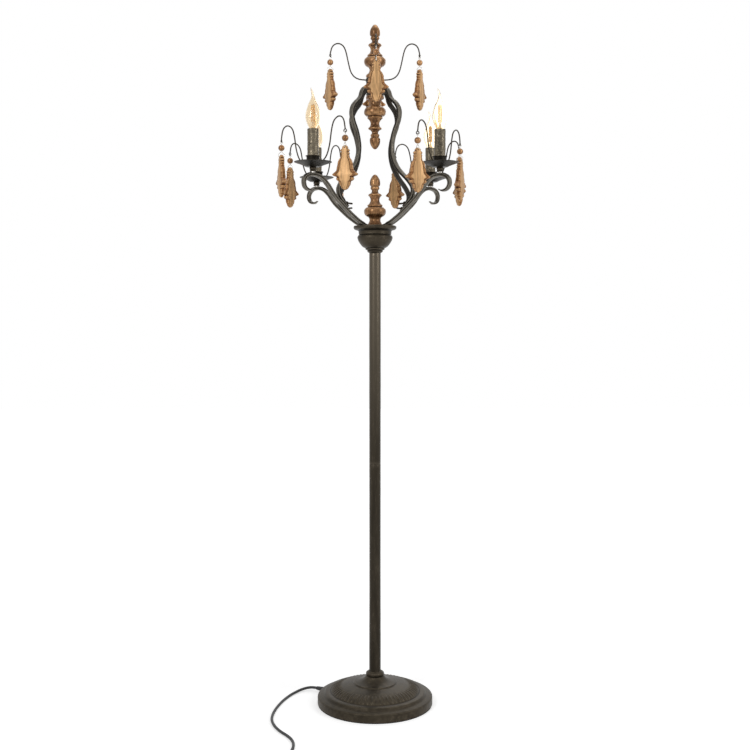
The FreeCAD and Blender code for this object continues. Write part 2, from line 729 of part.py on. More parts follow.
# hooks as shares of their reach and of the height of their end above the rim or the hub
pan_hook_shape = [(0.4356, 0.1452), (0.5297, 0.5323), (0.5743, 1), (0.6436, 1.3548), (0.8119, 1.5),
                  (0.9604, 1.3710), (1, 1)]
top_hook_shape = [(0.4055, 0.0855), (0.5622, 0.5641), (0.6083, 1.0513), (0.6912, 1.3248), (0.8433, 1.4274),
                  (0.9631, 1.3077), (1, 1)]


def pan_hook_line(end):
    start = [(cup_radius + 0.9, pan_floor_height + 4.3), (cup_radius * 2, pan_floor_height + 10)]
    return start + [(r * pan_hook_reach, pan_rim_height + z * end) for r, z in pan_hook_shape]


def top_hook_line():
    start = [(hub_disc_radius + 0.9, hub_top_height - hub_disc_height / 2 + 0.25)]
    return start + [(r * top_hook_reach, hub_top_height + z * top_hook_rise) for r, z in top_hook_shape]


def level(angle):
    """The level direction at an angle from +X."""
    return Vector(math.cos(math.radians(angle)), math.sin(math.radians(angle)), 0)


def drop_places():
    """Where the twelve drops hang: pivot, direction the pendant faces, direction of the hook's own
    plane. Each pendant is turned a little from facing away from the pole."""
    places = []
    hooks = zip(pan_hook_turns, pan_hook_lifts, pan_drop_twists)
    for k, (turn, lift, twist) in enumerate(hooks):
        arm = first_arm_angle + (k // 2) * 360.0 / arm_count
        plane = arm + (90 if k % 2 else -90) + turn
        at = level(arm) * ring_of_lights_radius + level(plane) * pan_hook_reach
        at.z = pan_rim_height + pan_hook_end + lift - pivot_below_hook
        places.append((at, math.degrees(math.atan2(at.y, at.x)) + twist, plane))
    for k, twist in enumerate(top_drop_twists):
        plane = k * 360.0 / arm_count
        at = level(plane) * top_hook_reach + up * (top_hook_end - pivot_below_hook)
        places.append((at, plane + twist, plane))
    return places


def pan_hooks():
    hooks = []
    for k, (at, face, plane) in enumerate(drop_places()[:2 * arm_count]):
        arm = first_arm_angle + (k // 2) * 360.0 / arm_count
        bent = hook(pan_hook_line(pan_hook_end + pan_hook_lifts[k]), face + 90 - plane)
        hooks.append(turned(bent, plane).translated(level(arm) * ring_of_lights_radius))
    return hooks


def top_hooks():
    hooks = []
    for at, face, plane in drop_places()[2 * arm_count:]:
        hooks.append(turned(hook(top_hook_line(), face + 90 - plane), plane))
    return hooks


# ---------------------------------------------------------------- drops
def link_wire_shape():
    """Wire link, drawn about the pivot in the hook, in the plane of X and Z: a loop that hangs in
    the eye of the hook, a stem through the bead and a clip whose pin passes through the pendant."""
    loop_top = hook_eye_wire + link_wire + link_play
    loop = Part.makeTorus(link_loop, link_wire, Vector(0, 0, loop_top - link_loop), Vector(0, 1, 0))
    stem_top = loop_top - 2 * link_loop
    apex = -pin_drop + pendant_above_pin + 1.2 + clip_slant
    stem = cylinder(link_wire, apex, stem_top)
    leg = pendant_thickness / 2 + clip_gap + link_wire
    corner = -pin_drop + pendant_above_pin + 1.2
    frame = [Vector(0, 0, apex), Vector(-leg, 0, corner), Vector(-leg, 0, -pin_drop),
             Vector(leg, 0, -pin_drop), Vector(leg, 0, corner), Vector(0, 0, apex)]
    pieces = [loop, stem]
    for start, end in zip(frame, frame[1:]):
        pieces.append(Part.makeCylinder(link_wire, (end - start).Length, start, end - start))
    pieces += [Part.makeSphere(link_wire, corner_point) for corner_point in frame[:-1]]
    return pieces[0].fuse(pieces[1:])


def bead():
    ball = Part.makeSphere(bead_radius, Vector(0, 0, -bead_drop))
    return ball.cut(cylinder(bead_bore, -bead_drop - 2 * bead_radius, -bead_drop + 2 * bead_radius))


# half widths of the pendant as shares of its greatest half width, and heights as shares of its length
pendant_outline = [
    (0.20, 0.000), (0.30, 0.055), (0.34, 0.120), (0.31, 0.190), (0.33, 0.250), (0.56, 0.335),
    (0.61, 0.440), (0.63, 0.520), (0.76, 0.590), (1.00, 0.640), (0.92, 0.690), (0.67, 0.735),
    (0.50, 0.800), (0.37, 0.870), (0.26, 0.935), (0.12, 1.000),
]


def pendant():
    """A carved slab, drawn about the pivot in the hook: its face looks along X and its hole takes
    the pin of the link."""
    top = -pin_drop + pendant_above_pin
    right = [Vector(0, pendant_half_width * y, top - pendant_length * z) for y, z in pendant_outline]
    left = [Vector(0, -p.y, p.z) for p in reversed(right)]
    sides = []
    for line in (right, left):
        curve = Part.BSplineCurve()
        curve.interpolate(line)
        sides.append(curve.toShape())
    closing = [Part.makeLine(right[-1], left[0]), Part.makeLine(left[-1], right[0])]
    face = Part.Face(Part.Wire([sides[0], closing[0], sides[1], closing[1]]))
    slab = face.extrude(Vector(pendant_thickness, 0, 0)).translated(Vector(-pendant_thickness / 2, 0, 0))
    hole = Part.makeCylinder(link_wire + pendant_pin_gap, 2 * pendant_thickness,
                             Vector(-pendant_thickness, 0, -pin_drop), Vector(1, 0, 0))
    return slab.cut(hole)


# ---------------------------------------------------------------- cord
exit_direction = Vector(math.cos(math.radians(cord_exit_angle)), math.sin(math.radians(cord_exit_angle)), 0)
cord_route = [
    exit_direction * cord_end_reach + up * cord_exit_height,
    exit_direction * (cord_end_reach + 13) + up * cord_exit_height, Vector(-167, 91.7, 7.8),
    Vector(-180, 89.8, 6.0), Vector(-192.3, 83, 4.5), Vector(-203.3, 71.8, 3.7),
    Vector(-213.5, 54, cord_floor), Vector(-222, 31, cord_floor), Vector(-229, 4, cord_floor),
    Vector(-235, -27, cord_floor), Vector(-239.5, -60, cord_floor), Vector(-240.5, -92, cord_floor),
    Vector(-235, -122, cord_floor), Vector(-224, -149, cord_floor), Vector(-210, -174, cord_floor),
    Vector(-195.5, -199, cord_floor), Vector(-185.5, -226, cord_floor), Vector(-182, -255, cord_floor),
    Vector(-184, -284, cord_floor), Vector(-190, -311, cord_floor), Vector(-198, -335, cord_floor),
    Vector(-203.6, -354, cord_floor), Vector(-205, -371, cord_floor),
]


def cord_grommet():
    """Grommet through the rim of the base with a tapered strain relief."""
    wall = base_radius
    profile = [
        (grommet_bore, wall - cover_wall - 1), (grommet_hole_radius - 0.1, wall - cover_wall - 1),
        (grommet_hole_radius - 0.1, wall + 0.2), (grommet_flange_radius, wall + 0.2),
        (grommet_flange_radius, relief_start), (grommet_hole_radius - 0.2, relief_start + 0.6),
        (grommet_tip_radius, cord_end_reach), (grommet_bore, cord_end_reach),
    ]
    solid = revolved([[profile[k], profile[k + 1]] for k in range(len(profile) - 1)])
    lying = solid.rotated(Vector(0, 0, 0), Vector(0, 1, 0), 90).translated(Vector(0, 0, cord_exit_height))
    return turned(lying, cord_exit_angle)


def inner_wiring():
    """The supply cable from the tip of the strain relief to the bowl, and a lead to each socket."""
    top = bowl_base_height + bowl_floor_height + nut_height + window_height
    turn = cord_exit_height + inner_bend_radius / arc_share
    elbow = swept([Vector(cord_end_reach, 0, cord_exit_height), Vector(0, 0, cord_exit_height),
                   Vector(0, 0, turn)], cord_radius)
    cable = elbow.fuse(cylinder(cord_radius, turn, top)).removeSplitter()
    crown_x = ring_of_lights_radius
    lead_line = [(wire_hole_radius, bowl_base_height + lead_start_height),
                 (wire_hole_radius, arm_foot_height)] + arm_line[1:-1]
    lead_line += [(crown_x - 8, crown_height - 1), (crown_x, crown_height + 0.4),
                  (crown_x, socket_base_height - 1)]
    lead = swept([Vector(r, 0, z) for r, z in lead_line], lead_radius)
    return [turned(cable, cord_exit_angle)] + around(lead, first_arm_angle)


def coil():
    """Outer shape of the wound cord, with the turns a diameter apart."""
    half_width = coil_rows * cord_radius + coil_gap
    height = coil_layers * 2 * cord_radius + 2 * coil_gap
    return tube(coil_mean_radius + half_width, coil_mean_radius - half_width, 0, height)


def mains_plug():
    """Two-blade plug that lies flat beside the coil, with its moulded strain relief."""
    solid = Part.makeBox(plug_length, plug_width, plug_height,
                         Vector(plug_relief_length, -plug_width / 2, -plug_height / 2))
    solid = solid.makeFillet(plug_round, solid.Edges)
    relief = Part.makeCone(cord_radius + 0.6, cord_radius + 3, plug_relief_length + 1,
                           Vector(0, 0, 0), Vector(1, 0, 0))
    body = solid.fuse(relief)
    front = plug_relief_length + plug_length
    blades = [Part.makeBox(blade_length, blade_thickness, blade_width,
                           Vector(front, side * blade_spacing / 2 - blade_thickness / 2, -blade_width / 2))
              for side in (-1, 1)]
    return [body] + blades


# ---------------------------------------------------------------- write every node
save("base_pad", base_pad())
save("base_cover", base_cover())
save("base_weight", base_weight())
save("base_collar", base_collar())
save("threaded_nipples", *threaded_nipples())
save("lock_nuts", *lock_nuts())
save("pole_inserts", pole_insert(pole_foot_height), pole_insert(bowl_base_height - insert_length))
save("lower_pole", pole_section(pole_foot_height))
save("pole_coupler", pole_coupler())
save("upper_pole", pole_section(pole_joint_height))
save("arm_bowl", arm_bowl())
save("arm_plate", arm_plate())
save("lower_finial", finial(nipple_radius).translated(up * plate_top_height))
save("top_hub", top_hub())
save("top_finial", finial(hub_rod_radius).translated(up * hub_top_height))
inverted = finial(hub_rod_radius).rotated(Vector(0, 0, 0), Vector(1, 0, 0), 180)
save("drop_finial", inverted.translated(up * hub_base_height))

arm = light_arm()
for number, solid in enumerate(around(arm, first_arm_angle), 1):
    save("light_arm_%d" % number, solid)
save("lyre_bars", *around(lyre_bar(), first_arm_angle))
stud, nut = joint_stud()
save("joint_studs", *(around(stud, first_arm_angle) + around(nut, first_arm_angle)))
save("top_hooks", *top_hooks())
save("pan_hooks", *pan_hooks())
save("pan_necks", *around(pan_neck(), first_arm_angle))
save("drip_pans", *around(drip_pan(), first_arm_angle))
save("candle_cups", *around(candle_cup(), first_arm_angle))
save("lamp_sockets", *around(lamp_socket(), first_arm_angle))
save("candle_sleeves", *around(candle_sleeve(), first_arm_angle))
save("bulb_caps", *around(bulb_cap(), first_arm_angle))
save("bulb_glasses", *around(bulb_glass_shell(), first_arm_angle))

link = link_wire_shape()
ball = bead()
slab = pendant()
for number, (at, face, plane) in enumerate(drop_places(), 1):
    save("bead_link_%d" % number, turned(link, face).translated(at), turned(ball, face).translated(at))
    save("pendant_%d" % number, turned(slab, face).translated(at))

radii = []
save("cord_grommet", cord_grommet())
save("inner_wiring", *inner_wiring())
coil_solid = coil().translated(coil_centre)
tail_height = coil_gap + (2 * coil_layers - 1) * cord_radius
outer_turn = coil_mean_radius + (coil_rows - 1) * cord_radius
tail_start = coil_centre + Vector(0, -outer_turn, tail_height)
tail_end = tail_start + Vector(tail_length, 0, 0)
tail = Part.makeCylinder(cord_radius, tail_length, tail_start, Vector(1, 0, 0)).cut(coil_solid)
lead = swept(cord_route, cord_radius, radii).cut(coil_solid)
save("cord_tube", lead, tail)
save("cord_coil", coil_solid)
save("mains_plug", *[piece.translated(tail_end) for piece in mains_plug()])

route_length = sum(edge.Length for edge in rounded_path(cord_route))
print("cord lead %.0f mm, arc radii %s" % (route_length, [round(r) for r in radii]))
print("volume over section and length %.4f" % (swept(cord_route, cord_radius).Volume
                                             / (math.pi * cord_radius ** 2 * route_length)))
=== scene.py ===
import json
import math

import bmesh
import bpy
import numpy as np
from bpy.props import FloatProperty, FloatVectorProperty, IntProperty, PointerProperty
from bpy.types import Operator, Panel, PropertyGroup
from mathutils import Matrix, Vector, noise


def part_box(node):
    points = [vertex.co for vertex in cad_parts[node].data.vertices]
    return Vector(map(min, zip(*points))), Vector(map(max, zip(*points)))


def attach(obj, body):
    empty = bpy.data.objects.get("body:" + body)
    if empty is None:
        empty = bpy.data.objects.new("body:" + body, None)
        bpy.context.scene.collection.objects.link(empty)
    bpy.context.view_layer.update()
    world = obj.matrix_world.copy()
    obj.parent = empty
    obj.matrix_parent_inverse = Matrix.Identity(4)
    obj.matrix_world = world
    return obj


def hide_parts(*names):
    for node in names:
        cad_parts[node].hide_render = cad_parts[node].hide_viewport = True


bl_info = {
    "name": "Candlestick floor lamp",
    "version": (1, 0, 0),
    "blender": (4, 5, 0),
    "location": "3D View > Sidebar > Lamp",
    "description": "Dresses the frame of a candlestick floor lamp with its metal, wood, glass and cord",
    "category": "Object",
}

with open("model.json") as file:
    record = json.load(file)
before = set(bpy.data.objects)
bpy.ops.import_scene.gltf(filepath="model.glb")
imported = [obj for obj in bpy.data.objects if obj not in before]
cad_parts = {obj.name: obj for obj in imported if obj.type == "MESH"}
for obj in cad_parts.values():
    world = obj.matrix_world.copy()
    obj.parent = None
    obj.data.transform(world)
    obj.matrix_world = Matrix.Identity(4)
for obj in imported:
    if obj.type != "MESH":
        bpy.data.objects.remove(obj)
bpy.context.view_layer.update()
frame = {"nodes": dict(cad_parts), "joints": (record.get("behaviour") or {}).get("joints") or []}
MM = 0.001
ARM_ANGLE = math.radians(45)
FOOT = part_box("lower_pole")[0].z / MM           # heights on the axis of the lamp, in millimetres
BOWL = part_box("arm_bowl")[0].z / MM
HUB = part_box("top_hub")[0].z / MM
HUB_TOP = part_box("top_hub")[1].z / MM
PLATE_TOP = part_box("arm_plate")[1].z / MM
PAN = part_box("drip_pans")[0].z / MM
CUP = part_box("candle_cups")[0].z / MM
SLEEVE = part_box("candle_sleeves")[0].z / MM
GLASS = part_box("bulb_glasses")[0].z / MM
LIGHTS = 206.0                                  # radius of the ring of candle lights
LINK_PIN = -35.1                                # height of a link's pin below the pivot in the hook's eye
PAN_RISE = 11.5                                 # from the underside of a drip pan to its rim
FULL_TURN = 2 * math.pi
WHITE = (1, 1, 1, 1)
CAMERA_TURN = math.radians(-1.4)                # a little from the left of the lamp
CAMERA_SHIFT = -64.0 / 750.0                    # eye level lies above the middle of the frame
FLOOR_HALF = 8.0                                # half the side of the floor, in metres
WORLD_SOFT = 0.30                               # strength of the world on matt surfaces
LAMP_AIM = Vector((0, 0, 1.1))
# name, place, width and height in metres, power in watts
LAMPS = (("key", (-1.15, -1.65, 1.9), (0.5, 1.3), 17.0), ("fill", (1.75, -1.0, 1.7), (0.5, 1.5), 15.0),
         ("top", (0.2, 0.2, 3.3), (1.2, 1.2), 12.0), ("back", (0.6, 2.4, 2.2), (1.2, 1.2), 10.0))


# ---------------------------------------------------------------- sizes and colours
def size(name, text, default, low=0.0, high=2.0):
    return FloatProperty(name=name, description=text, default=default, min=low, max=high, unit="LENGTH")


def colour(name, text, default):
    return FloatVectorProperty(name=name, description=text, default=default, subtype="COLOR", size=3,
                               min=0.0, max=1.0)


class LampSizes(PropertyGroup):
    base_leaves: IntProperty(name="Leaves on the base", description="Raised leaves around the dome of the base",
                             default=64, min=8, max=120)
    wire: size("Hook wire", "Thickness of the wire of a hook", 0.0032)
    bead: size("Bead", "Diameter of a turned bead", 0.0148)
    pendant_relief: size("Pendant relief", "Depth of the carving at the rim of a pendant", 0.0012)
    hammering: size("Hammering", "Depth of the hammer marks on forged bars", 0.00035)
    filaments: IntProperty(name="Filaments", description="Filament strips in one bulb", default=6, min=2, max=12)
    cord_length: size("Cord length", "Length of the mains cord", 1.8, 0.5, 6.0)
    cord_diameter: size("Cord diameter", "Thickness of the mains cord", 0.0065)


class LampColours(PropertyGroup):
    bronze_dark: colour("Dark bronze", "Hollows of the bronze finish", (0.016, 0.012, 0.007))
    bronze: colour("Bronze", "Body of the bronze finish", (0.045, 0.036, 0.024))
    # this colour also paints light: the pole is made lighter with it towards its top
    bronze_rubbed_and_lit: colour("Rubbed bronze", "Edges and patches that are rubbed light", (0.150, 0.125, 0.092))
    iron_grey: colour("Forged grey", "Rubbed outer faces of the forged bars", (0.125, 0.112, 0.090))
    # this colour also paints shade: the inner faces of the lyre bars are made black with it
    iron_black_and_shade: colour("Forge black", "Grooves and inner faces of the forged bars", (0.010, 0.008, 0.006))
    pewter: colour("Pewter", "Light cells on the candle sleeves", (0.170, 0.142, 0.098))
    wood: colour("Turned wood", "Body colour of the turned finials", (0.250, 0.118, 0.048))
    # this colour also serves as a painted highlight on the edges and bulges of the finials
    wood_gilt_and_highlight: colour("Gilt wood", "Rubbed high places on the turned wood", (0.490, 0.275, 0.125))
    carving: colour("Carved face", "Flat face of a pendant", (0.740, 0.440, 0.205))
    carving_dark: colour("Carved edge", "Rim and hollows of a pendant", (0.150, 0.062, 0.020))
    amber: colour("Bulb tint", "Tint of the bulb glass", (0.910, 0.815, 0.665))


class LampStage(PropertyGroup):
    lens: FloatProperty(name="Lens", description="Focal length of the camera in millimetres", default=52.8)
    distance: size("Camera distance", "From the camera to the axis of the lamp", 2.670, 0.5, 10.0)
    height: size("Camera height", "Height of the camera above the floor", 0.951)


# ---------------------------------------------------------------- shader maths
class Value:
    """One output of a finish's node tree. Arithmetic on it adds Math nodes."""

    def __init__(self, finish, socket):
        self.finish, self.socket = finish, socket

    def math(self, operation, first, second):
        return self.finish.node("ShaderNodeMath", {"operation": operation}, {0: first, 1: second})

    def __add__(self, other): return self.math("ADD", self, other)
    def __sub__(self, other): return self.math("SUBTRACT", self, other)
    def __rsub__(self, other): return self.math("SUBTRACT", other, self)
    def __mul__(self, other): return self.math("MULTIPLY", self, other)

    def clip(self, low, high):
        """0 below low, 1 above high, and a smooth step between."""
        return self.finish.node("ShaderNodeMapRange", {"interpolation_type": "SMOOTHSTEP"},
                                {"Value": self, "From Min": low, "From Max": high})


class Finish:
    """A procedural material, or the shading of the world."""

    def __init__(self, name, world=False):
        self.owner = bpy.data.worlds.new(name) if world else bpy.data.materials.new("lamp_" + name)
        self.owner.use_nodes = True
        self.tree = self.owner.node_tree
        self.tree.nodes.clear()

    def node(self, kind, settings=None, sockets=None, out=0):
        node = self.tree.nodes.new(kind)
        for key, value in (settings or {}).items():
            setattr(node, key, value)
        for key, value in (sockets or {}).items():
            if isinstance(value, Value):
                self.tree.links.new(value.socket, node.inputs[key])
            else:
                node.inputs[key].default_value = value
        return Value(self, node.outputs[out]) if node.outputs else None

    def place(self, scale=(1, 1, 1)):
        """Object coordinates, stretched."""
        coordinates = self.node("ShaderNodeTexCoord", out="Object")
        return self.node("ShaderNodeMapping", None, {"Vector": coordinates, "Scale": scale})

    def noise(self, scale, detail=3.0, stretch=(1, 1, 1), distortion=0.0):
        return self.node("ShaderNodeTexNoise", None, {"Vector": self.place(stretch), "Scale": scale,
                                                      "Detail": detail, "Distortion": distortion})

    def cell_walls(self, scale):
        """Distance from the nearest wall between cells."""
        return self.node("ShaderNodeTexVoronoi", {"feature": "DISTANCE_TO_EDGE"},
                         {"Vector": self.place(), "Scale": scale})

    def attribute(self, name):
        return self.node("ShaderNodeAttribute", {"attribute_name": name}, out="Fac")

    def mix(self, share, first, second):
        first, second = ((*tone, 1.0) if isinstance(tone, tuple) else tone for tone in (first, second))
        return self.node("ShaderNodeMix", {"data_type": "RGBA"}, {0: share, 6: first, 7: second}, 2)

    def bump(self, height, depth):
        return self.node("ShaderNodeBump", None, {"Height": height, "Distance": depth, "Strength": 1.0})

    def shader(self, **sockets):
        names = {key.replace("_", " "): value for key, value in sockets.items()}
        return self.node("ShaderNodeBsdfPrincipled", None, names)

    def sees_white(self):
        """1 for the rays that see the white background: from the camera, off gloss and through glass."""
        camera, gloss, through = (self.node("ShaderNodeLightPath", out="Is %s Ray" % kind)
                                  for kind in ("Camera", "Glossy", "Transmission"))
        return (camera + gloss + through).clip(0, 1)

    def done(self, surface):
        world = isinstance(self.owner, bpy.types.World)
        self.node("ShaderNodeOutputWorld" if world else "ShaderNodeOutputMaterial", None, {"Surface": surface})
        return self.owner


def swatch(name, share=1.0):
    """A colour of the panel, made darker or lighter by share."""
    return tuple(min(1.0, c * share) for c in getattr(bpy.context.scene.lamp_colours, name))


def bronze_finish(name, tone=1.0, streak=(1, 1, 1), rough=0.46, rise=None):
    """Aged bronze paint: softly mottled, dark in the hollows, rubbed light along the edges. rise
    adds painted light: it makes the finish lighter with height, from and to a height in metres."""
    f = Finish(name)
    light = swatch("bronze_rubbed_and_lit", tone)
    broad = f.noise(14.0, 4.0, streak)
    mottle = f.noise(85.0, 5.0, streak, 0.4)
    speck = f.noise(520.0, 3.0, streak)
    base = f.mix((broad * 0.35 + mottle * 0.65).clip(0.30, 0.60), swatch("bronze", tone * 0.62),
                 swatch("bronze", tone))
    base = f.mix((mottle * 0.45 + speck * 0.55).clip(0.52, 0.70) * 0.35, base, light)
    base = f.mix((f.attribute("edge") * (mottle + 0.45)).clip(0.12, 0.95) * 0.42, base, light)
    # painted light: lighter with height, standing in for light that falls more strongly on the top
    if rise:
        height = f.node("ShaderNodeSeparateXYZ", None, {0: f.place()}, "Z")
        base = f.mix(height.clip(*rise) * 0.85, base, light)
    base = f.mix(f.attribute("hollow").clip(0.02, 0.50) * 0.92, base, swatch("bronze_dark", tone * 0.35))
    return f.done(f.shader(Base_Color=base, Metallic=0.8, Specular_IOR_Level=0.3,
                           Roughness=speck * 0.2 + mottle * 0.15 + (rough - 0.15),
                           Normal=f.bump(mottle * 0.5 + speck * 0.5, 0.0004)))


def forged_finish(name):
    """Hand-forged bars: grey on the outer faces, black in the grooves, and black on the inner faces of the lyre
    bars as painted shade.
    """
    f = Finish(name)
    cloud = f.noise(30.0, 4.0)
    scale = f.noise(150.0, 5.0, (1, 1, 1), 0.5)
    speck = f.noise(600.0, 2.0)
    black = swatch("iron_black_and_shade")
    base = f.mix((cloud * 0.45 + scale * 0.55).clip(0.34, 0.62), swatch("iron_grey", 0.48), swatch("iron_grey"))
    base = f.mix((f.attribute("edge") * (scale + 0.5)).clip(0.10, 0.80) * 0.6, base, swatch("iron_grey", 1.7))
    # painted shade: the inner faces of the lyre bars are made black
    dark = (f.attribute("inner") * 0.9 + (scale - 0.5) * 0.5).clip(0.15, 0.75)
    base = f.mix(dark * 0.86, base, black)
    base = f.mix(f.attribute("hollow").clip(0.03, 0.45) * 0.9, base, black)
    return f.done(f.shader(Base_Color=base, Metallic=0.7, Roughness=0.46 - scale * 0.22 + dark * 0.12,
                           Specular_IOR_Level=0.3, Normal=f.bump(scale * 0.6 + speck * 0.4, 0.0006)))


def pewter_finish(name):
    """Candle sleeves: a hammered coat with pale cells, dark veins between them and soft drips."""
    f = Finish(name)
    vein = f.cell_walls(170.0)
    blot = f.noise(80.0, 4.0, (1, 1, 0.35), 1.0)
    speck = f.noise(520.0, 2.0)
    pale = (vein * 1.3 + blot * 1.1 - 0.30).clip(0.02, 0.60)
    base = f.mix(pale, swatch("pewter", 0.30), swatch("pewter"))
    base = f.mix(speck.clip(0.58, 0.78) * 0.35, base, swatch("pewter", 1.5))
    base = f.mix(f.attribute("hollow").clip(0.02, 0.5) * 0.8, base, swatch("bronze_dark"))
    return f.done(f.shader(Base_Color=base, Metallic=0.5, Roughness=0.50 - pale * 0.2,
                           Specular_IOR_Level=0.25, Normal=f.bump(pale * 0.7 + speck * 0.3, 0.0006)))


def turned_wood_finish(name, tone=1.0):
    """Stained, waxed wood with gilding rubbed over its bulges and edges, and dark waists and grooves; the light
    bulges and dark waists are partly painted highlight and painted shade, partly gilding and stain.
    """
    f = Finish(name)
    gilt_and_highlight = swatch("wood_gilt_and_highlight", tone)
    grain = f.noise(60.0, 5.0, (1, 1, 0.09), 0.4)
    fibre = f.noise(420.0, 3.0, (1, 1, 0.05))
    cloud = f.noise(42.0, 4.0)
    base = f.mix((grain * 0.6 + fibre * 0.4).clip(0.38, 0.62), swatch("wood", tone * 0.45), swatch("wood", tone))
    base = f.mix((cloud * 0.55 + grain * 0.45).clip(0.45, 0.64) * 0.7, base, gilt_and_highlight)
    # partly painted highlight: edges and bulges are made light, besides rubbed gilding
    base = f.mix(f.attribute("edge").clip(0.15, 0.95) * 0.60, base, gilt_and_highlight)
    # partly painted shade: grooves and waists are darkened, besides stain in them
    base = f.mix(f.attribute("hollow").clip(0.10, 1.0) * 0.80, base, swatch("wood", tone * 0.16))
    return f.done(f.shader(Base_Color=base, Metallic=0.5, Roughness=fibre * 0.15 + 0.22, Coat_Weight=0.10,
                           Coat_Roughness=0.12, Specular_IOR_Level=0.12,
                           Normal=f.bump(fibre * 0.5 + grain * 0.5, 0.0004)))


def carved_wood_finish(name):
    """Pendants: pale grained faces, brown carved rims, dark hollows and golden high places."""
    f = Finish(name)
    grain = f.noise(150.0, 5.0, (1, 1, 0.06), 0.8)
    fibre = f.noise(800.0, 2.0, (1, 1, 0.05))
    stain = f.noise(26.0, 3.0)
    pale = f.mix((grain * 0.65 + fibre * 0.35).clip(0.36, 0.62), swatch("carving", 0.50), swatch("carving"))
    pale = f.mix(stain.clip(0.42, 0.68) * 0.4, pale, swatch("carving", 0.62))
    rim = f.mix((grain * 0.5 + stain * 0.5).clip(0.36, 0.62), swatch("carving_dark"), swatch("carving_dark", 1.9))
    base = f.mix(f.attribute("face"), rim, pale)
    base = f.mix(f.attribute("edge").clip(0.06, 0.50) * 0.60, base, swatch("carving"))
    base = f.mix(f.attribute("hollow").clip(0.03, 0.30) * 0.90, base, swatch("carving_dark", 0.20))
    return f.done(f.shader(Base_Color=base, Metallic=0.25, Roughness=fibre * 0.2 + 0.32, Coat_Weight=0.05,
                           Coat_Roughness=0.2, Specular_IOR_Level=0.12,
                           Normal=f.bump(grain * 0.6 + fibre * 0.4, 0.0004)))


def plain_finish(name, tone, rough, metal=0.0, grain=300.0):
    """A plain even finish with a fine grain, for small and hidden pieces."""
    f = Finish(name)
    fine, cloud = f.noise(grain, 3.0), f.noise(grain * 0.12, 2.0)
    base = f.mix((fine * 0.5 + cloud * 0.5).clip(0.35, 0.65), tuple(c * 0.75 for c in tone), tone)
    return f.done(f.shader(Base_Color=base, Metallic=metal, Roughness=fine * 0.2 + (rough - 0.1),
                           Normal=f.bump(fine, 0.0002)))


def glass_finish(name):
    f = Finish(name)
    tint = f.mix(f.noise(30.0, 1.0), swatch("amber"), tuple(c ** 1.2 for c in swatch("amber")))
    return f.done(f.shader(Base_Color=tint, Roughness=0.02, IOR=1.45, Transmission_Weight=1.0))


# ---------------------------------------------------------------- shape helpers, in millimetres
def smooth(points, steps):
    """Points on a natural cubic through points, as a draughtsman's spline would lie."""
    p = np.array(points, float)
    span = np.linalg.norm(np.diff(p, axis=0), axis=1)
    count = len(p)
    matrix, right = np.eye(count), np.zeros_like(p)
    for k in range(1, count - 1):
        matrix[k, k - 1:k + 2] = span[k - 1], 2 * (span[k - 1] + span[k]), span[k]
        right[k] = 6 * ((p[k + 1] - p[k]) / span[k] - (p[k] - p[k - 1]) / span[k - 1])
    bend = np.linalg.solve(matrix, right)
    line = []
    for k in range(count - 1):
        for t in np.arange(steps) / steps:
            a, b, h = 1 - t, t, span[k]
            pull = (a ** 3 - a) * bend[k] + (b ** 3 - b) * bend[k + 1]
            line.append(a * p[k] + b * p[k + 1] + h * h / 6 * pull)
    return line + [p[-1]]


def outline(stretches, steps=6, ease=0.35):
    """A closed outline of (r, z) points. A stretch of three or more points is a smooth curve, and
    corners are eased by a small chamfer so that they catch the light."""
    corners = []
    for stretch in stretches:
        line = smooth(stretch, steps) if len(stretch) > 2 else [np.array(p, float) for p in stretch]
        for p in line:
            if not corners or np.linalg.norm(p - corners[-1]) > 1e-4:
                corners.append(p)
    if np.linalg.norm(corners[0] - corners[-1]) < 1e-4:
        corners.pop()
    eased = []
    for k, p in enumerate(corners):
        before, after = corners[k - 1] - p, corners[(k + 1) % len(corners)] - p
        lengths = np.linalg.norm(before), np.linalg.norm(after)
        turn = math.degrees(math.acos(np.clip(-before @ after / (lengths[0] * lengths[1]), -1, 1)))
        if turn < 24 or p[0] < 1e-6:
            eased.append(p)
            continue
        eased += [p + v / n * min(ease, 0.3 * n) for v, n in zip((before, after), lengths)]
    return eased


def mesh_of(name, points, faces):
    """A mesh in metres from points in millimetres."""
    mesh = bpy.data.meshes.new(name)
    mesh.from_pydata([tuple(c * MM for c in p) for p in points], [], faces)
    mesh.validate()
    return mesh


def raised(stretches, height):
    return [[(r, z + height) for r, z in stretch] for stretch in stretches]


def lathe(name, stretches, segments=96, steps=6, ease=0.35):
    """A turned piece about the axis."""
    line = outline(stretches, steps, ease)
    area = sum(a[0] * b[1] - b[0] * a[1] for a, b in zip(line, line[1:] + line[:1]))
    if area < 0:
        line.reverse()
    points, rings = [], []
    for r, z in line:
        if r < 1e-6:
            rings.append([len(points)] * segments)
            points.append((0.0, 0.0, z))
            continue
        rings.append(list(range(len(points), len(points) + segments)))
        for k in range(segments):
            angle = FULL_TURN * k / segments
            points.append((r * math.cos(angle), r * math.sin(angle), z))
    faces = []
    for low, high in zip(rings, rings[1:] + rings[:1]):
        if low[0] == low[1] and high[0] == high[1]:
            continue
        for k in range(segments):
            n = (k + 1) % segments
            face = [low[k], low[n], high[n], high[k]]
            faces.append([v for i, v in enumerate(face) if v != face[i - 1]])
    return mesh_of(name, points, faces)


def rounded(points, steps=8):
    """A line whose corners are eased by a curve between the middles of its runs."""
    p = [np.array(q, float) for q in points]
    line = [p[0]]
    for k in range(1, len(p) - 1):
        start = (p[k - 1] + p[k]) / 2 if k > 1 else p[0] * 0.55 + p[1] * 0.45
        end = (p[k] + p[k + 1]) / 2 if k < len(p) - 2 else p[-1] * 0.55 + p[-2] * 0.45
        for t in np.linspace(0, 1, steps):
            q = (1 - t) ** 2 * start + 2 * t * (1 - t) * p[k] + t * t * end
            if np.linalg.norm(q - line[-1]) > 1e-3:
                line.append(q)
    return line + [p[-1]]


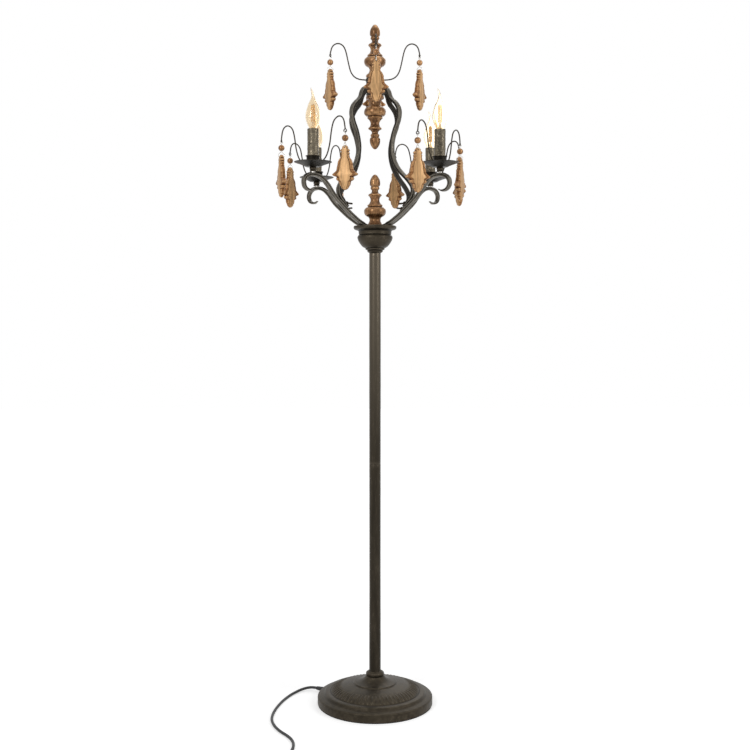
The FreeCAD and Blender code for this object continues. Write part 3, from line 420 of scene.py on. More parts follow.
def swept(name, line, section, closed=False):
    """A section carried along a line without twisting. section(share) gives (across, up) points."""
    line = [Vector(p) for p in line]
    count = len(line)
    tangents = []
    for k in range(count):
        before = line[k - 1] if k or closed else line[0]
        after = line[(k + 1) % count] if k < count - 1 or closed else line[-1]
        tangents.append((after - before).normalized())
    side = Vector((0, 1, 0)) if abs(tangents[0].y) < 0.9 else Vector((1, 0, 0))
    points, rings = [], []
    for k, (p, along) in enumerate(zip(line, tangents)):
        side = (side - along * side.dot(along)).normalized()
        upward = along.cross(side)
        shape = section(k / (count - 1))
        rings.append(list(range(len(points), len(points) + len(shape))))
        points += [tuple(p + side * a + upward * b) for a, b in shape]
    faces = []
    around = len(rings[0])
    pairs = list(zip(rings, rings[1:] + ([rings[0]] if closed else [])))
    for low, high in pairs:
        for k in range(around):
            n = (k + 1) % around
            faces.append([low[k], low[n], high[n], high[k]])
    if not closed:
        for ring, centre, flip in ((rings[0], line[0], True), (rings[-1], line[-1], False)):
            points.append(tuple(centre))
            for k in range(around):
                face = [ring[k], ring[(k + 1) % around], len(points) - 1]
                faces.append(face[::-1] if flip else face)
    mesh = mesh_of(name, points, faces)
    mend(mesh)
    return mesh


def wire(name, line, radius, closed=False, sides=10):
    angles = [FULL_TURN * k / sides for k in range(sides)]
    ring = [(radius * math.cos(a), radius * math.sin(a)) for a in angles]
    return swept(name, line, lambda share: ring, closed)


def mend(mesh):
    """Turns the faces outwards."""
    work = bmesh.new()
    work.from_mesh(mesh)
    bmesh.ops.recalc_face_normals(work, faces=work.faces)
    work.to_mesh(mesh)
    work.free()


def joined(name, meshes):
    """Several meshes as one."""
    work = bmesh.new()
    for mesh in meshes:
        work.from_mesh(mesh)
    mesh = bpy.data.meshes.new(name)
    work.to_mesh(mesh)
    work.free()
    return mesh


def moved(mesh, matrix):
    copy = mesh.copy()
    copy.transform(matrix)
    return copy


def shift(x=0.0, y=0.0, z=0.0):
    return Matrix.Translation((x * MM, y * MM, z * MM))


def vertex_rows(mesh, kind="co"):
    """The places or the normals of a mesh's vertices, one row each."""
    values = np.empty(len(mesh.vertices) * 3)
    mesh.vertices.foreach_get(kind, values)
    return values.reshape(-1, 3)


def dented(mesh, depth, size, seed=0.0):
    """Pushes the surface in and out by a soft noise, in millimetres."""
    co, normal = vertex_rows(mesh), vertex_rows(mesh, "normal")
    offset = Vector((seed, seed * 0.7, seed * 1.3))
    push = np.array([noise.noise(Vector(c) / (size * MM) + offset) for c in co])
    mesh.vertices.foreach_set("co", (co + normal * (push * depth * MM)[:, None]).ravel())
    mesh.update()
    return mesh


def mark_relief(mesh, reach=2.5):
    """Stores how hollow and how sharp each place is, for the finishes to read."""
    co, normal = vertex_rows(mesh) / MM, vertex_rows(mesh, "normal")
    count = len(co)
    ends = np.empty(len(mesh.edges) * 2, int)
    mesh.edges.foreach_get("vertices", ends)
    a, b = ends.reshape(-1, 2).T
    run = co[b] - co[a]
    length = (run ** 2).sum(1) + 1e-6
    bend, share = np.zeros(count), np.zeros(count)
    for here, there, sign in ((a, b, 1), (b, a, -1)):
        np.add.at(bend, here, 2 * sign * (run * normal[here]).sum(1) / length)
        np.add.at(share, here, 1)
    bend /= np.maximum(share, 1)
    for _ in range(2):
        total, near = bend.copy(), np.ones(count)
        for here, there in ((a, b), (b, a)):
            np.add.at(total, here, bend[there])
            np.add.at(near, here, 1)
        bend = total / near
    for name, value in (("hollow", bend), ("edge", -bend)):
        store(mesh, name, np.clip(value * reach, 0, 1))


def mark_bulges(mesh, reach, depth):
    """Adds to the relief of a turned piece: waists as hollows and bulges as edges, measured against
    the mean radius within reach along its axis."""
    co = vertex_rows(mesh) / MM
    radius, height = np.hypot(co[:, 0], co[:, 1]), co[:, 2]
    levels = np.unique(np.round(height, 1))
    shape = np.array([radius[np.abs(height - z) < 0.06].max() for z in levels])
    spread = np.exp(-((levels[:, None] - levels[None, :]) / reach) ** 2)
    mean = np.interp(height, levels, (spread * shape).sum(1) / spread.sum(1))
    for name, rise in (("hollow", mean - radius), ("edge", radius - mean)):
        layer = mesh.attributes[name].data
        near = np.empty(len(radius), np.float32)
        layer.foreach_get("value", near)
        store(mesh, name, np.maximum(near, np.clip(rise / depth, 0, 1)))


def store(mesh, name, values):
    layer = mesh.attributes.get(name) or mesh.attributes.new(name, "FLOAT", "POINT")
    layer.data.foreach_set("value", np.asarray(values, np.float32))


# ---------------------------------------------------------------- repeated pieces
def ring_tree():
    """Node tree that sets copies of a piece around the axis."""
    name = "copies_around_axis"
    if name in bpy.data.node_groups:
        return bpy.data.node_groups[name]
    tree = bpy.data.node_groups.new(name, "GeometryNodeTree")
    face = tree.interface
    face.new_socket("Piece", in_out="INPUT", socket_type="NodeSocketGeometry")
    face.new_socket("Copies", in_out="INPUT", socket_type="NodeSocketInt")
    face.new_socket("First Angle", in_out="INPUT", socket_type="NodeSocketFloat")
    face.new_socket("Finish", in_out="INPUT", socket_type="NodeSocketMaterial")
    face.new_socket("Ring", in_out="OUTPUT", socket_type="NodeSocketGeometry")

    def add(kind, *feeds, operation=None):
        node = tree.nodes.new(kind)
        if operation:
            node.operation = operation
        for key, feed in feeds:
            if isinstance(feed, float):
                node.inputs[key].default_value = feed
            else:
                tree.links.new(feed, node.inputs[key])
        return node.outputs if kind == "NodeGroupInput" else node.outputs[0] if node.outputs else None

    given = add("NodeGroupInput")
    points = add("GeometryNodePoints", ("Count", given["Copies"]))
    step = add("ShaderNodeMath", (0, FULL_TURN), (1, given["Copies"]), operation="DIVIDE")
    turn = add("ShaderNodeMath", (0, add("GeometryNodeInputIndex")), (1, step), operation="MULTIPLY")
    angle = add("ShaderNodeMath", (0, turn), (1, given["First Angle"]), operation="ADD")
    rotation = add("ShaderNodeCombineXYZ", ("Z", angle))
    single = add("GeometryNodeGeometryToInstance", (0, given["Piece"]))
    copies = add("GeometryNodeInstanceOnPoints", ("Points", points), ("Instance", single), ("Rotation", rotation))
    real = add("GeometryNodeRealizeInstances", (0, copies))
    add("NodeGroupOutput", (0, add("GeometryNodeSetMaterial", ("Geometry", real), ("Material", given["Finish"]))))
    return tree


def placed(name, data):
    """A new object in the scene."""
    obj = bpy.data.objects.new(name, data)
    bpy.context.scene.collection.objects.link(obj)
    return obj


def evaluated(obj):
    """A plain mesh of an object with its modifiers applied."""
    view = bpy.context.evaluated_depsgraph_get()
    view.update()
    return bpy.data.meshes.new_from_object(obj.evaluated_get(view))


def ring(mesh, copies, first=0.0, finish=None):
    """A plain mesh of copies of mesh around the axis, made by the node tree."""
    holder = placed("ring_holder", mesh)
    modifier = holder.modifiers.new("Ring", "NODES")
    modifier.node_group = ring_tree()
    names = {item.name: item.identifier for item in modifier.node_group.interface.items_tree
             if item.in_out == "INPUT"}
    modifier[names["Copies"]] = copies
    modifier[names["First Angle"]] = first
    modifier[names["Finish"]] = finish
    made = evaluated(holder)
    bpy.data.objects.remove(holder)
    return made


def piece(name, mesh, finish, body="frame", replaces=(), sharp=38.0):
    """Puts a finished mesh into the scene, on its body."""
    mesh.materials.clear()
    mesh.materials.append(finish)
    mesh.polygons.foreach_set("material_index", np.zeros(len(mesh.polygons), int))
    mesh.polygons.foreach_set("use_smooth", np.ones(len(mesh.polygons), bool))
    mesh.set_sharp_from_angle(angle=math.radians(sharp))
    mesh.update()
    obj = placed(name, mesh)
    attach(obj, body)
    if replaces:
        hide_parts(*replaces)
    return obj


def dress(finish, *nodes):
    """Gives carried-over nodes their finish."""
    for node in nodes:
        mesh = frame["nodes"][node].data
        mesh.materials.clear()
        mesh.materials.append(finish)


def finish_named(name, maker, *given):
    """The finish of that name, made the first time that it is asked for."""
    return bpy.data.materials.get("lamp_" + name) or maker(name, *given)


def bronze():
    return finish_named("aged_bronze", bronze_finish)


def forged():
    return finish_named("forged_bronze", forged_finish)


def bright_steel():
    return finish_named("bright_steel", plain_finish, (0.62, 0.60, 0.56), 0.28, 1.0, 900.0)


def black_rubber():
    return finish_named("black_rubber", plain_finish, (0.022, 0.022, 0.022), 0.55, 0.0, 500.0)


# ---------------------------------------------------------------- camera, light and floor
class LAMP_OT_stage(Operator):
    """Floor, soft studio light and the camera of the photograph"""
    bl_idname = "lamp.stage"
    bl_label = "Stage"

    def execute(self, context):
        stage = context.scene.lamp_stage
        camera = bpy.data.cameras.new("photo_camera")
        camera.lens = stage.lens
        camera.sensor_width = 36.0
        camera.shift_y = CAMERA_SHIFT
        camera.clip_end = 50.0
        holder = placed("photo_camera", camera)
        holder.location = (stage.distance * math.sin(CAMERA_TURN), -stage.distance * math.cos(CAMERA_TURN),
                           stage.height)
        holder.rotation_euler = (math.radians(90), 0, CAMERA_TURN)
        context.scene.camera = holder

        mesh = bpy.data.meshes.new("studio_floor")
        mesh.from_pydata([(x * FLOOR_HALF, y * FLOOR_HALF, 0) for x, y in ((-1, -1), (1, -1), (1, 1), (-1, 1))],
                         [], [(0, 1, 2, 3)])
        placed("studio_floor", mesh)
        f = Finish("studio_floor")
        far = f.node("ShaderNodeVectorMath", {"operation": "LENGTH"}, {0: f.place()}, "Value").clip(0.35, 1.3)
        matt = f.node("ShaderNodeBsdfDiffuse", None, {"Color": (0.80, 0.80, 0.80, 1)})
        glow = f.node("ShaderNodeEmission", None, {"Color": WHITE, "Strength": f.sees_white() * (far * 0.5 + 0.5)})
        mesh.materials.append(f.done(f.node("ShaderNodeAddShader", None, {0: matt, 1: glow})))

        f = Finish("studio_white", world=True)
        soft, white = (f.node("ShaderNodeBackground", None, {"Color": WHITE, "Strength": strength})
                       for strength in (WORLD_SOFT, 1.0))
        context.scene.world = f.done(f.node("ShaderNodeMixShader", None, {0: f.sees_white(), 1: soft, 2: white}))

        for name, place, (width, height), power in LAMPS:
            light = bpy.data.lights.new(name, "AREA")
            light.shape = "RECTANGLE"
            light.size, light.size_y = width, height
            light.energy = power
            lamp = placed(name, light)
            lamp.location = place
            lamp.rotation_euler = (LAMP_AIM - Vector(place)).to_track_quat("-Z", "Y").to_euler()
        context.scene.view_settings.view_transform = "Standard"
        return {"FINISHED"}


# ---------------------------------------------------------------- cord
CORD_ANGLE = math.radians(150)                  # where the cord leaves the base
CORD_HEIGHT = 9.0
RELIEF_END = 165.0                              # from the axis to the tip of the strain relief
CORD_TAIL = 46.0                                # straight run from the coil into the plug
CORD_RUN = [(-168.5, 88, 7.8), (-182, 81, 6.0), (-194.5, 68, 4.5), (-205.5, 52, 3.7), (-216, 30, 0),
            (-225, 5, 0), (-232.5, -22, 0), (-238.5, -50, 0), (-242.5, -80, 0), (-243, -110, 0),
            (-238, -138, 0), (-229, -164, 0), (-216.5, -188, 0), (-202, -209, 0), (-190.5, -231, 0),
            (-184.5, -256, 0), (-184.5, -283, 0), (-190, -309, 0), (-198, -333, 0), (-203.8, -353, 0)]


class LAMP_OT_cord(Operator):
    """Mains cord from the strain relief to its coil and plug"""
    bl_idname = "lamp.cord"
    bl_label = "Cord and plug"

    def execute(self, context):
        sizes = context.scene.lamp_sizes
        radius = sizes.cord_diameter / 2 / MM
        low = radius + 0.1
        away = Vector((math.cos(CORD_ANGLE), math.sin(CORD_ANGLE), 0))
        start = away * RELIEF_END + Vector((0, 0, CORD_HEIGHT))
        route = [tuple(start), tuple(start + away * 2 * sizes.cord_diameter / MM)]
        route += [(x, y, max(z, low)) for x, y, z in CORD_RUN]
        centre, mean, pitch = Vector((-160.5, -369.5, 0)), 38.5, 2 * radius
        turns, per_turn = 5.25, 16
        outer = mean + pitch
        route.append((centre.x - outer, centre.y, low))
        # inward on the floor for two turns, up on to them in the third, and outward on top
        for k in range(1, int(turns * per_turn) + 1):
            done = k / per_turn
            climb = min(max(done - 2, 0.0), 1.0)
            height = low + pitch * math.sqrt(1 - (1 - climb) ** 2)
            reach = outer - pitch * min(done, 2.0) + pitch * min(max(done - 3, 0.0), 2.0)
            turn = math.pi + FULL_TURN * done
            route.append((centre.x + reach * math.cos(turn), centre.y + reach * math.sin(turn), height))
        route += [(centre.x + CORD_TAIL * share, centre.y - outer, low + pitch) for share in (0.5, 1.0)]
        curve = bpy.data.curves.new("mains_cord", "CURVE")
        curve.dimensions = "3D"
        curve.bevel_depth = radius * MM
        curve.bevel_resolution = 4
        curve.resolution_u = 6
        curve.use_fill_caps = True
        spline = curve.splines.new("NURBS")
        spline.points.add(len(route) - 1)
        for point, place in zip(spline.points, route):
            point.co = (*(c * MM for c in place), 1.0)
        spline.order_u = 3
        spline.use_endpoint_u = True
        curve.materials.append(black_rubber())
        cord = placed("mains_cord", curve)
        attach(cord, "frame")
        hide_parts("cord_tube", "cord_coil")
        dress(finish_named("plug_black", plain_finish, (0.020, 0.020, 0.021), 0.42), "mains_plug")
        dress(black_rubber(), "cord_grommet")
        tuple(c * MM for c in route[0])
        return {"FINISHED"}


# ---------------------------------------------------------------- base and pole
DOME = [(107, 30.4), (99, 36), (88, 41.8), (70, 46.8), (52, 50)]
LEAF_ROWS = 11
LEAF_ACROSS = [-1.0, -0.6, -0.22, 0.0, 0.22, 0.6, 1.0]


def leaf_mesh():
    """One raised leaf, lying on the dome of the base."""
    dome = smooth(DOME, 12)
    surface = lambda r: float(np.interp(-r, [-p[0] for p in dome], [p[1] for p in dome]))
    width, points, faces = len(LEAF_ACROSS), [], []
    for k in range(LEAF_ROWS):
        t = k / (LEAF_ROWS - 1)
        r = 105.2 - 27 * t
        tip = 1 - (2 * t - 0.9) ** 2 if t > 0.45 else 1 - (1 - t / 0.45) ** 4
        half = 3.9 * (1 - 0.25 * t) * math.sqrt(max(0.02, tip))
        rise = 1.5 * math.sin(math.pi * min(1.0, 0.08 + t * 0.95)) ** 0.6 * (1 - 0.45 * t)
        for a in LEAF_ACROSS:
            lift = rise * (1 - abs(a) ** 1.6) + (0.35 * rise if a == 0 else 0) - 0.25
            points.append((r, half * a, surface(r) + lift))
    for k in range(LEAF_ROWS - 1):
        for i in range(k * width, (k + 1) * width - 1):
            faces.append([i, i + 1, i + width + 1, i + width])
    under, last = len(points), (LEAF_ROWS - 1) * width
    points += [(x, y, surface(x) - 0.9) for x, y, z in points]
    faces += [[v + under for v in face[::-1]] for face in faces]
    rim = list(range(width)) + [k * width + width - 1 for k in range(1, LEAF_ROWS)]
    rim += [last + c for c in range(width - 2, -1, -1)] + [k * width for k in range(LEAF_ROWS - 2, 0, -1)]
    faces += [[a, b, b + under, a + under] for a, b in zip(rim, rim[1:] + rim[:1])]
    leaf = mesh_of("base_leaf", points, faces)
    mend(leaf)
    return leaf


class LAMP_OT_base(Operator):
    """Round base cover with its ring of raised leaves, the pad and the weight"""
    bl_idname = "lamp.base"
    bl_label = "Base"

    def execute(self, context):
        top = [[(139, 2), (139, 17)], [(139, 17), (138.2, 20), (136, 21.6)], [(126, 23)],
               [(126, 23), (122.6, 25.2), (121, 28.5)], [(119.8, 30)], [(109, 31.2)], [(107.8, 30)],
               DOME, [(50.6, 52.5)],
               [(49, 52.5), (38, 55.5), (28, 60.6), (21.5, 67.5)]]
        inside = [[(7, 67.5)], [(7, 65.5)], [(19.5, 64.5), (26.5, 58.2), (37.2, 53.2), (48, 50.1)],
                  [(50, 48)], [(69.6, 44.8), (87.6, 39.8), (98, 34), (105.5, 28)], [(118, 28)],
                  [(121.4, 21.6)], [(126, 21)], [(135, 19.6)], [(137, 17)], [(137, 2)]]
        shell = lathe("base_shell", top + inside, 192, 8, 0.5)
        leaves = ring(leaf_mesh(), context.scene.lamp_sizes.base_leaves)
        whole = joined("base_cover_dressed", [shell, leaves])
        mark_relief(whole, 1.6)
        piece("base_cover_dressed", whole, bronze(), replaces=["base_cover"])
        collar = lathe("base_collar_dressed", raised([
            [(14.1, 0), (20, 0)], [(21.5, 1.5)], [(21.5, 1.5), (22, 5), (21.1, 8)], [(18, 10), (15, 12)],
            [(14.1, 12)]], FOOT), 96)
        mark_relief(collar)
        piece("base_collar_dressed", collar, bronze(), replaces=["base_collar"])
        dress(finish_named("pad_felt", plain_finish, (0.03, 0.03, 0.03), 0.95, 0.0, 900.0), "base_pad")
        dress(finish_named("rough_iron", plain_finish, (0.10, 0.10, 0.10), 0.7, 0.8, 160.0), "base_weight")
        return {"FINISHED"}


class LAMP_OT_pole(Operator):
    """Two pole sections with the fine seam between them, and what joins them inside"""
    bl_idname = "lamp.pole"
    bl_label = "Pole"

    def execute(self, context):
        # the last pair paints light on the pole: lighter from 0.5 m up to 1.1 m
        finish = finish_named("pole_bronze", bronze_finish, 0.68, (1, 1, 0.12), 0.34, (0.50, 1.10))
        middle = (FOOT + BOWL) / 2
        for name, low, high in (("lower_pole", FOOT, middle), ("upper_pole", middle, BOWL)):
            heights = np.linspace(low + 0.6, high - 0.6, 60)
            tube = lathe(name + "_dressed", [[(12.5, low), (13.4, low)]] + [[(14, z)] for z in heights]
                         + [[(13.4, high), (12.5, high)]], 48)
            dented(tube, 0.12, 22, 3.0 if name == "lower_pole" else 8.0)
            mark_relief(tube)
            piece(name + "_dressed", tube, finish, replaces=[name])
        dress(bright_steel(), "threaded_nipples", "lock_nuts", "pole_inserts", "pole_coupler")
        dress(black_rubber(), "inner_wiring")
        return {"FINISHED"}


class LAMP_OT_bowl(Operator):
    """Cup-shaped body on top of the pole, with the plate that carries the arms"""
    bl_idname = "lamp.bowl"
    bl_label = "Bowl"

    def execute(self, context):
        bowl = lathe("arm_bowl_dressed", raised([
            [(6.8, 0), (14.2, 0)], [(14.2, 0), (17.6, 2.6), (19.4, 5)], [(18.4, 6)],
            [(18.6, 7.2)], [(18.6, 7.2), (22, 8), (23.4, 9.8), (22.8, 11.4)],
            [(24.2, 12), (30, 15.4), (36, 22.4), (40.6, 30), (42.8, 36.5)],
            [(42.8, 36.5), (42.2, 40), (40.4, 43)], [(38.6, 43.6)], [(38.4, 44.8)],
            [(39.6, 45.4), (39.6, 49), (40, 53)], [(41.4, 55)],
            [(41.4, 55), (47.2, 56.4), (50.8, 58.6), (52, 61.8), (51.8, 64)],
            [(51.2, 65.5)], [(50, 65.5)], [(50, 61)], [(46, 61)], [(46, 57)], [(36.3, 57)], [(36.3, 46)],
            [(40.8, 37)], [(40.8, 35)], [(28, 17)], [(19, 10), (6.8, 10)]], BOWL), 128, 7)
        dented(bowl, 0.25, 14, 2.0)
        mark_relief(bowl)
        piece("arm_bowl_dressed", bowl, bronze(), replaces=["arm_bowl"])
        dress(bronze(), "arm_plate")
        return {"FINISHED"}


# ---------------------------------------------------------------- forged bars
ARM = [(27, 1157.6), (46, 1160.6), (68, 1172), (94, 1188), (119, 1206.5), (141, 1223), (159, 1245),
       (180, 1261), (206, 1265.5), (227, 1261), (236.5, 1247), (231, 1231), (215, 1226), (203, 1231)]
LYRE = [(14.8, 1492.6), (36, 1489), (46, 1477), (50, 1461), (71, 1446), (81.5, 1427), (77, 1403), (62, 1377),
        (54, 1341), (62, 1309), (80, 1284), (105, 1264), (124, 1243), (123, 1226)]
# half section of a bar: (across, through), from the middle of its outer face to that of its inner face
BAR = [(0, 1), (0.30, 0.93), (0.55, 0.80), (0.84, 0.82), (0.98, 0.62), (0.97, 0.38), (0.80, 0.20), (0.76, 0),
       (0.80, -0.20), (0.97, -0.38), (0.98, -0.62), (0.84, -0.82), (0.55, -0.80), (0.30, -0.90), (0, -0.94)]


def forged_bar(name, centre_line, half_width, half_depths, depth_of_marks, seed, inner=False):
    """A forged bar with a low ridge along each broad face, a groove along each side and worn corners."""
    line = rounded([(x, 0, z) for x, z in centre_line], 9)
    shape = BAR + [(-a, b) for a, b in BAR[-2:0:-1]]
    places = np.linspace(0, 1, len(half_depths))

    def section(share):
        half = float(np.interp(share, places, half_depths))
        end = min(1.0, 0.55 + 12 * min(share, 1 - share))
        return [(half_width * a * end, half * b * end) for a, b in shape]

    bar = swept(name, line, section)
    # painted shade: with inner, the faces that look towards the axis are marked to be made black
    dark = [min(1.0, max(0.0, 0.5 - 0.8 * b)) for a, b in shape] * len(line) + [0.5, 0.5]
    store(bar, "inner", dark if inner else np.zeros(len(dark)))
    return dented(bar, depth_of_marks, 9, seed)


class LAMP_OT_frame(Operator):
    """Scrolled arms, lyre bars, their studs and the hub"""
    bl_idname = "lamp.frame"
    bl_label = "Arms and lyre bars"

    def execute(self, context):
        marks = context.scene.lamp_sizes.hammering / MM
        arm = forged_bar("arm", ARM, 5.45, [5.0] * 12 + [4.9, 4.7, 4.2, 3.6, 2.9, 2.2], marks, 1.0)
        arms = ring(arm, 4, ARM_ANGLE)
        mark_relief(arms)
        piece("light_arms_dressed", arms, forged(),
              replaces=["light_arm_%d" % k for k in (1, 2, 3, 4)])
        run = Vector((ARM[4][0] - ARM[3][0], 0, ARM[4][1] - ARM[3][1])).normalized()
        joint = Vector((ARM[4][0], 0, ARM[4][1])) + Vector((-run.z, 0, run.x)) * 9.8 + run * 2
        end = joint - run * 28
        # the lyre bars get painted shade on their inner faces
        bar = forged_bar("lyre", LYRE + [(joint.x, joint.z), (end.x, end.z)], 6.2, [4.45] * 8, marks, 5.0, True)
        bars = ring(bar, 4, ARM_ANGLE)
        mark_relief(bars)
        piece("lyre_bars_dressed", bars, forged(), replaces=["lyre_bars"])
        dress(bronze(), "joint_studs", "top_hub")
        return {"FINISHED"}


# ---------------------------------------------------------------- finials
FINIAL = [
    [(20.3, 0), (21.6, 2.4), (21.6, 6.0), (19.8, 8.4)], [(16.6, 9.4)],
    [(16.4, 10.8)], [(16.4, 10.8), (14.2, 15), (13.4, 20), (15.4, 25.4)], [(17.2, 26.6)],
    [(17.2, 26.6), (23.6, 31), (26.4, 38), (25.6, 44.6), (21.4, 49.2)],
    [(17.6, 50.2)], [(17.2, 51.6)], [(17.2, 51.6), (18.6, 53), (18, 55.6)], [(16.2, 56.6)],
    [(16.2, 56.6), (12.8, 61), (10.9, 66.6), (11.7, 72.4), (13.4, 75.6)], [(14.2, 76.6)],
    [(14.2, 76.6), (16.2, 78.4), (16.2, 80.2), (14.6, 82)],
    [(14.6, 82), (9.6, 85.2), (7.7, 89.4), (8.2, 92)], [(9.4, 92.8)],
    [(9.4, 92.8), (10.8, 95.4), (10.4, 98.4)], [(9.6, 99.4)], [(9.8, 100.6)],
    [(9.8, 100.6), (12.1, 103.4), (12.7, 108), (11.4, 117), (7.6, 124), (3.8, 128.4), (0, 130)]]


class LAMP_OT_finials(Operator):
    """Three turned wooden finials"""
    bl_idname = "lamp.finials"
    bl_label = "Finials"

    def execute(self, context):
        finish = finish_named("turned_wood", turned_wood_finish)
        for name, bore, base, flip in (("lower_finial", 6.6, PLATE_TOP, 1), ("top_finial", 5.1, HUB_TOP, 1),
                                       ("drop_finial", 5.1, HUB, -1)):
            shape = [[(bore, 0), FINIAL[0][0]]] + FINIAL + [[(0, 46)], [(bore, 46)]]
            mesh = lathe(name + "_dressed", [[(r, base + flip * z) for r, z in s] for s in shape], 96, 7)
            mark_relief(mesh)
            # marks the waists for painted shade and the bulges for painted highlight, which the wood finish paints
            # together with stain and gilding
            mark_bulges(mesh, 7.0, 5.0)
            piece(name + "_dressed", mesh, finish, replaces=[name])
        return {"FINISHED"}


# ---------------------------------------------------------------- candle lights
TIP_START = 70.0                                # height at which the drawn tip of a bulb starts to bend
TIP_BEND = 0.0080


class LAMP_OT_lights(Operator):
    """Necks, drip pans, cups, sleeves and bulbs of the candle lights"""
    bl_idname = "lamp.lights"
    bl_label = "Candle lights"

    def around(self, name, mesh, finish, slot, node, relief=2.5, sharp=38.0):
        mesh = ring(moved(mesh, shift(LIGHTS)), 4, ARM_ANGLE)
        mark_relief(mesh, relief)
        piece(name, mesh, finish, replaces=[node], sharp=sharp)

    def execute(self, context):
        dark = finish_named("pan_bronze", bronze_finish, 0.32, (1, 1, 1), 0.40)
        neck = lathe("neck", raised([[(5.1, 0.05), (7, 0.05)], [(7, 0.05), (8, 1.5), (6.6, 3)],
                                     [(6.6, 3), (8, 6), (7, 11)], [(5.1, 11)]], PAN - 11), 48)
        self.around("pan_necks_dressed", neck, bronze(), "bronze", "pan_necks")
        pan = lathe("pan", raised([[(5.1, 0), (17, 0)], [(17, 0), (24, 3.6), (34, 7.4), (43.5, 10.7)],
                                   [(43.5, PAN_RISE)], [(42.3, PAN_RISE), (33.4, 9), (23.4, 5.3), (16.4, 1.5)],
                                   [(5.1, 1.5)]], PAN), 96, 6, 0.2)
        self.around("drip_pans_dressed", dented(pan, 0.15, 12, 4.0), dark, "bronze", "drip_pans")
        cup = lathe("cup", raised([[(5.1, 0), (13, 0)], [(13, 0), (14.6, 1.2), (15, 4)],
                                   [(15, 22.4)], [(17.2, 22.6)], [(17.2, 23.8)], [(15, 24)],
                                   [(13.6, 24)], [(13.6, 1.4)], [(5.1, 1.4)]], CUP), 64, 6, 0.2)
        self.around("candle_cups_dressed", cup, bronze(), "bronze", "candle_cups")

        high = SLEEVE + 84
        heights = np.linspace(SLEEVE + 0.5, high - 1.2, 70)
        sleeve = lathe("sleeve", [[(12, SLEEVE), (13, SLEEVE)]] + [[(13, z)] for z in heights]
                       + [[(12.9, high), (12, high)]], 72, 6, 0.2)
        co = vertex_rows(sleeve) / MM
        outside = np.hypot(co[:, 0], co[:, 1]) > 12.5
        push = np.array([noise.cell(Vector(c) / 5.5) * 0.22 + noise.noise(Vector(c) / 3.2) * 0.4 for c in co])
        co[:, :2] *= (1 + outside * (push - 0.12) / 13)[:, None]
        sleeve.vertices.foreach_set("co", (co * MM).ravel())
        sleeve.update()
        self.around("candle_sleeves_dressed", sleeve, finish_named("sleeve_pewter", pewter_finish), "pewter",
                    "candle_sleeves", 1.2)

        low = GLASS
        walls = raised([
            [(8.6, 0), (10.8, 6), (16.3, 20), (17.5, 31), (14.9, 45), (10.4, 59), (5, TIP_START + 1), (3.0, 81),
             (2.0, 90), (0, 96)],
            [(0, 86), (1.4, 80), (4, TIP_START), (9.5, 58.4), (14.1, 44.8), (16.7, 31), (15.5, 20.2), (10, 6.3),
             (7.85, 0)]], low)
        glass = lathe("glass", walls, 64, 8, 0.1)
        for v in glass.vertices:
            v.co.x -= TIP_BEND * max(0.0, v.co.z / MM - (low + TIP_START)) ** 2 * MM
        angles = [ARM_ANGLE + k * math.pi / 2 for k in range(4)]
        glasses = [moved(glass, shift(LIGHTS * math.cos(a), LIGHTS * math.sin(a))) for a in angles]
        finish = finish_named("bulb_glass", glass_finish)
        piece("bulb_glasses_dressed", joined("glasses", glasses), finish,
              replaces=["bulb_glasses"], sharp=180)

        strip = wire("strip", [(3.6, 0, low + 17), (4.4, 0, low + 36), (3.2, 0, low + 56)], 0.62, sides=6)
        filaments = context.scene.lamp_sizes.filaments
        strips = ring(strip, filaments)
        gold = finish_named("filament_gold", plain_finish, (0.95, 0.55, 0.10), 0.5)
        piece("filaments", ring(moved(strips, shift(LIGHTS)), 4, ARM_ANGLE), gold)
        stem = lathe("stem", raised([[(0, 2), (5.5, 2)], [(5.5, 2), (3.2, 9), (1.6, 15)], [(0.9, 17)],
                                     [(0.7, 58)], [(0, 58.5)]], low), 24)
        lead = wire("lead", [(1.0, 0, low + 15), (2.4, 0, low + 16), (3.6, 0, low + 17)], 0.22, sides=6)
        top = wire("top_lead", [(0, 0, low + 58), (1.8, 0, low + 57.6), (3.2, 0, low + 56)], 0.22, sides=6)
        leads = joined("leads", [ring(lead, filaments), ring(top, filaments)])
        piece("filament_leads", ring(moved(leads, shift(LIGHTS)), 4, ARM_ANGLE), bright_steel())
        piece("bulb_stems", ring(moved(stem, shift(LIGHTS)), 4, ARM_ANGLE), finish)
        dress(finish_named("cap_brass", plain_finish, (0.72, 0.52, 0.24), 0.35, 1.0), "bulb_caps")
        dress(finish_named("phenolic", plain_finish, (0.035, 0.028, 0.022), 0.45), "lamp_sockets")
        return {"FINISHED"}


# ---------------------------------------------------------------- hooks and drops
PAN_RIM = PAN + PAN_RISE
# middle line of the hooks: out from the light or the axis, and height. In the rise of a pan hook the
# height is a share of the way from the rim of the pan to the end of the hook
PAN_HOOK = [(14.6, PAN + 3.9), (30, PAN + 10)]
PAN_HOOK_RISE = [(44, 0.1452), (53.5, 0.5323), (58, 1), (65, 1.3548), (82, 1.5), (97, 1.3710), (101, 1)]
TOP_HOOK = [(21.4, 1511.4), (43, 1513), (58, 1526), (65, 1554), (71, 1584), (79, 1597), (92, 1601),
            (104.5, 1593), (108.5, 1575)]
EYE = 3.2
BELOW = 2 * EYE + 0.96                          # from the end of a hook down to the pivot in its eye


def hook(line, twist, radius):
    """A bent wire that ends in a small eye whose plane is turned by twist."""
    route = rounded([(x, 0, z) for x, z in line], 8)
    end = Vector(route[-1])
    centre = end - Vector((0, 0, BELOW - EYE))
    circle = [centre + Vector((EYE * math.sin(a) * math.cos(twist), EYE * math.sin(a) * math.sin(twist),
                               EYE * math.cos(a))) for a in np.linspace(0, FULL_TURN, 25)[:-1]]
    return joined("hook", [wire("hook_wire", route, radius), wire("hook_eye", circle, 1.2, True)])


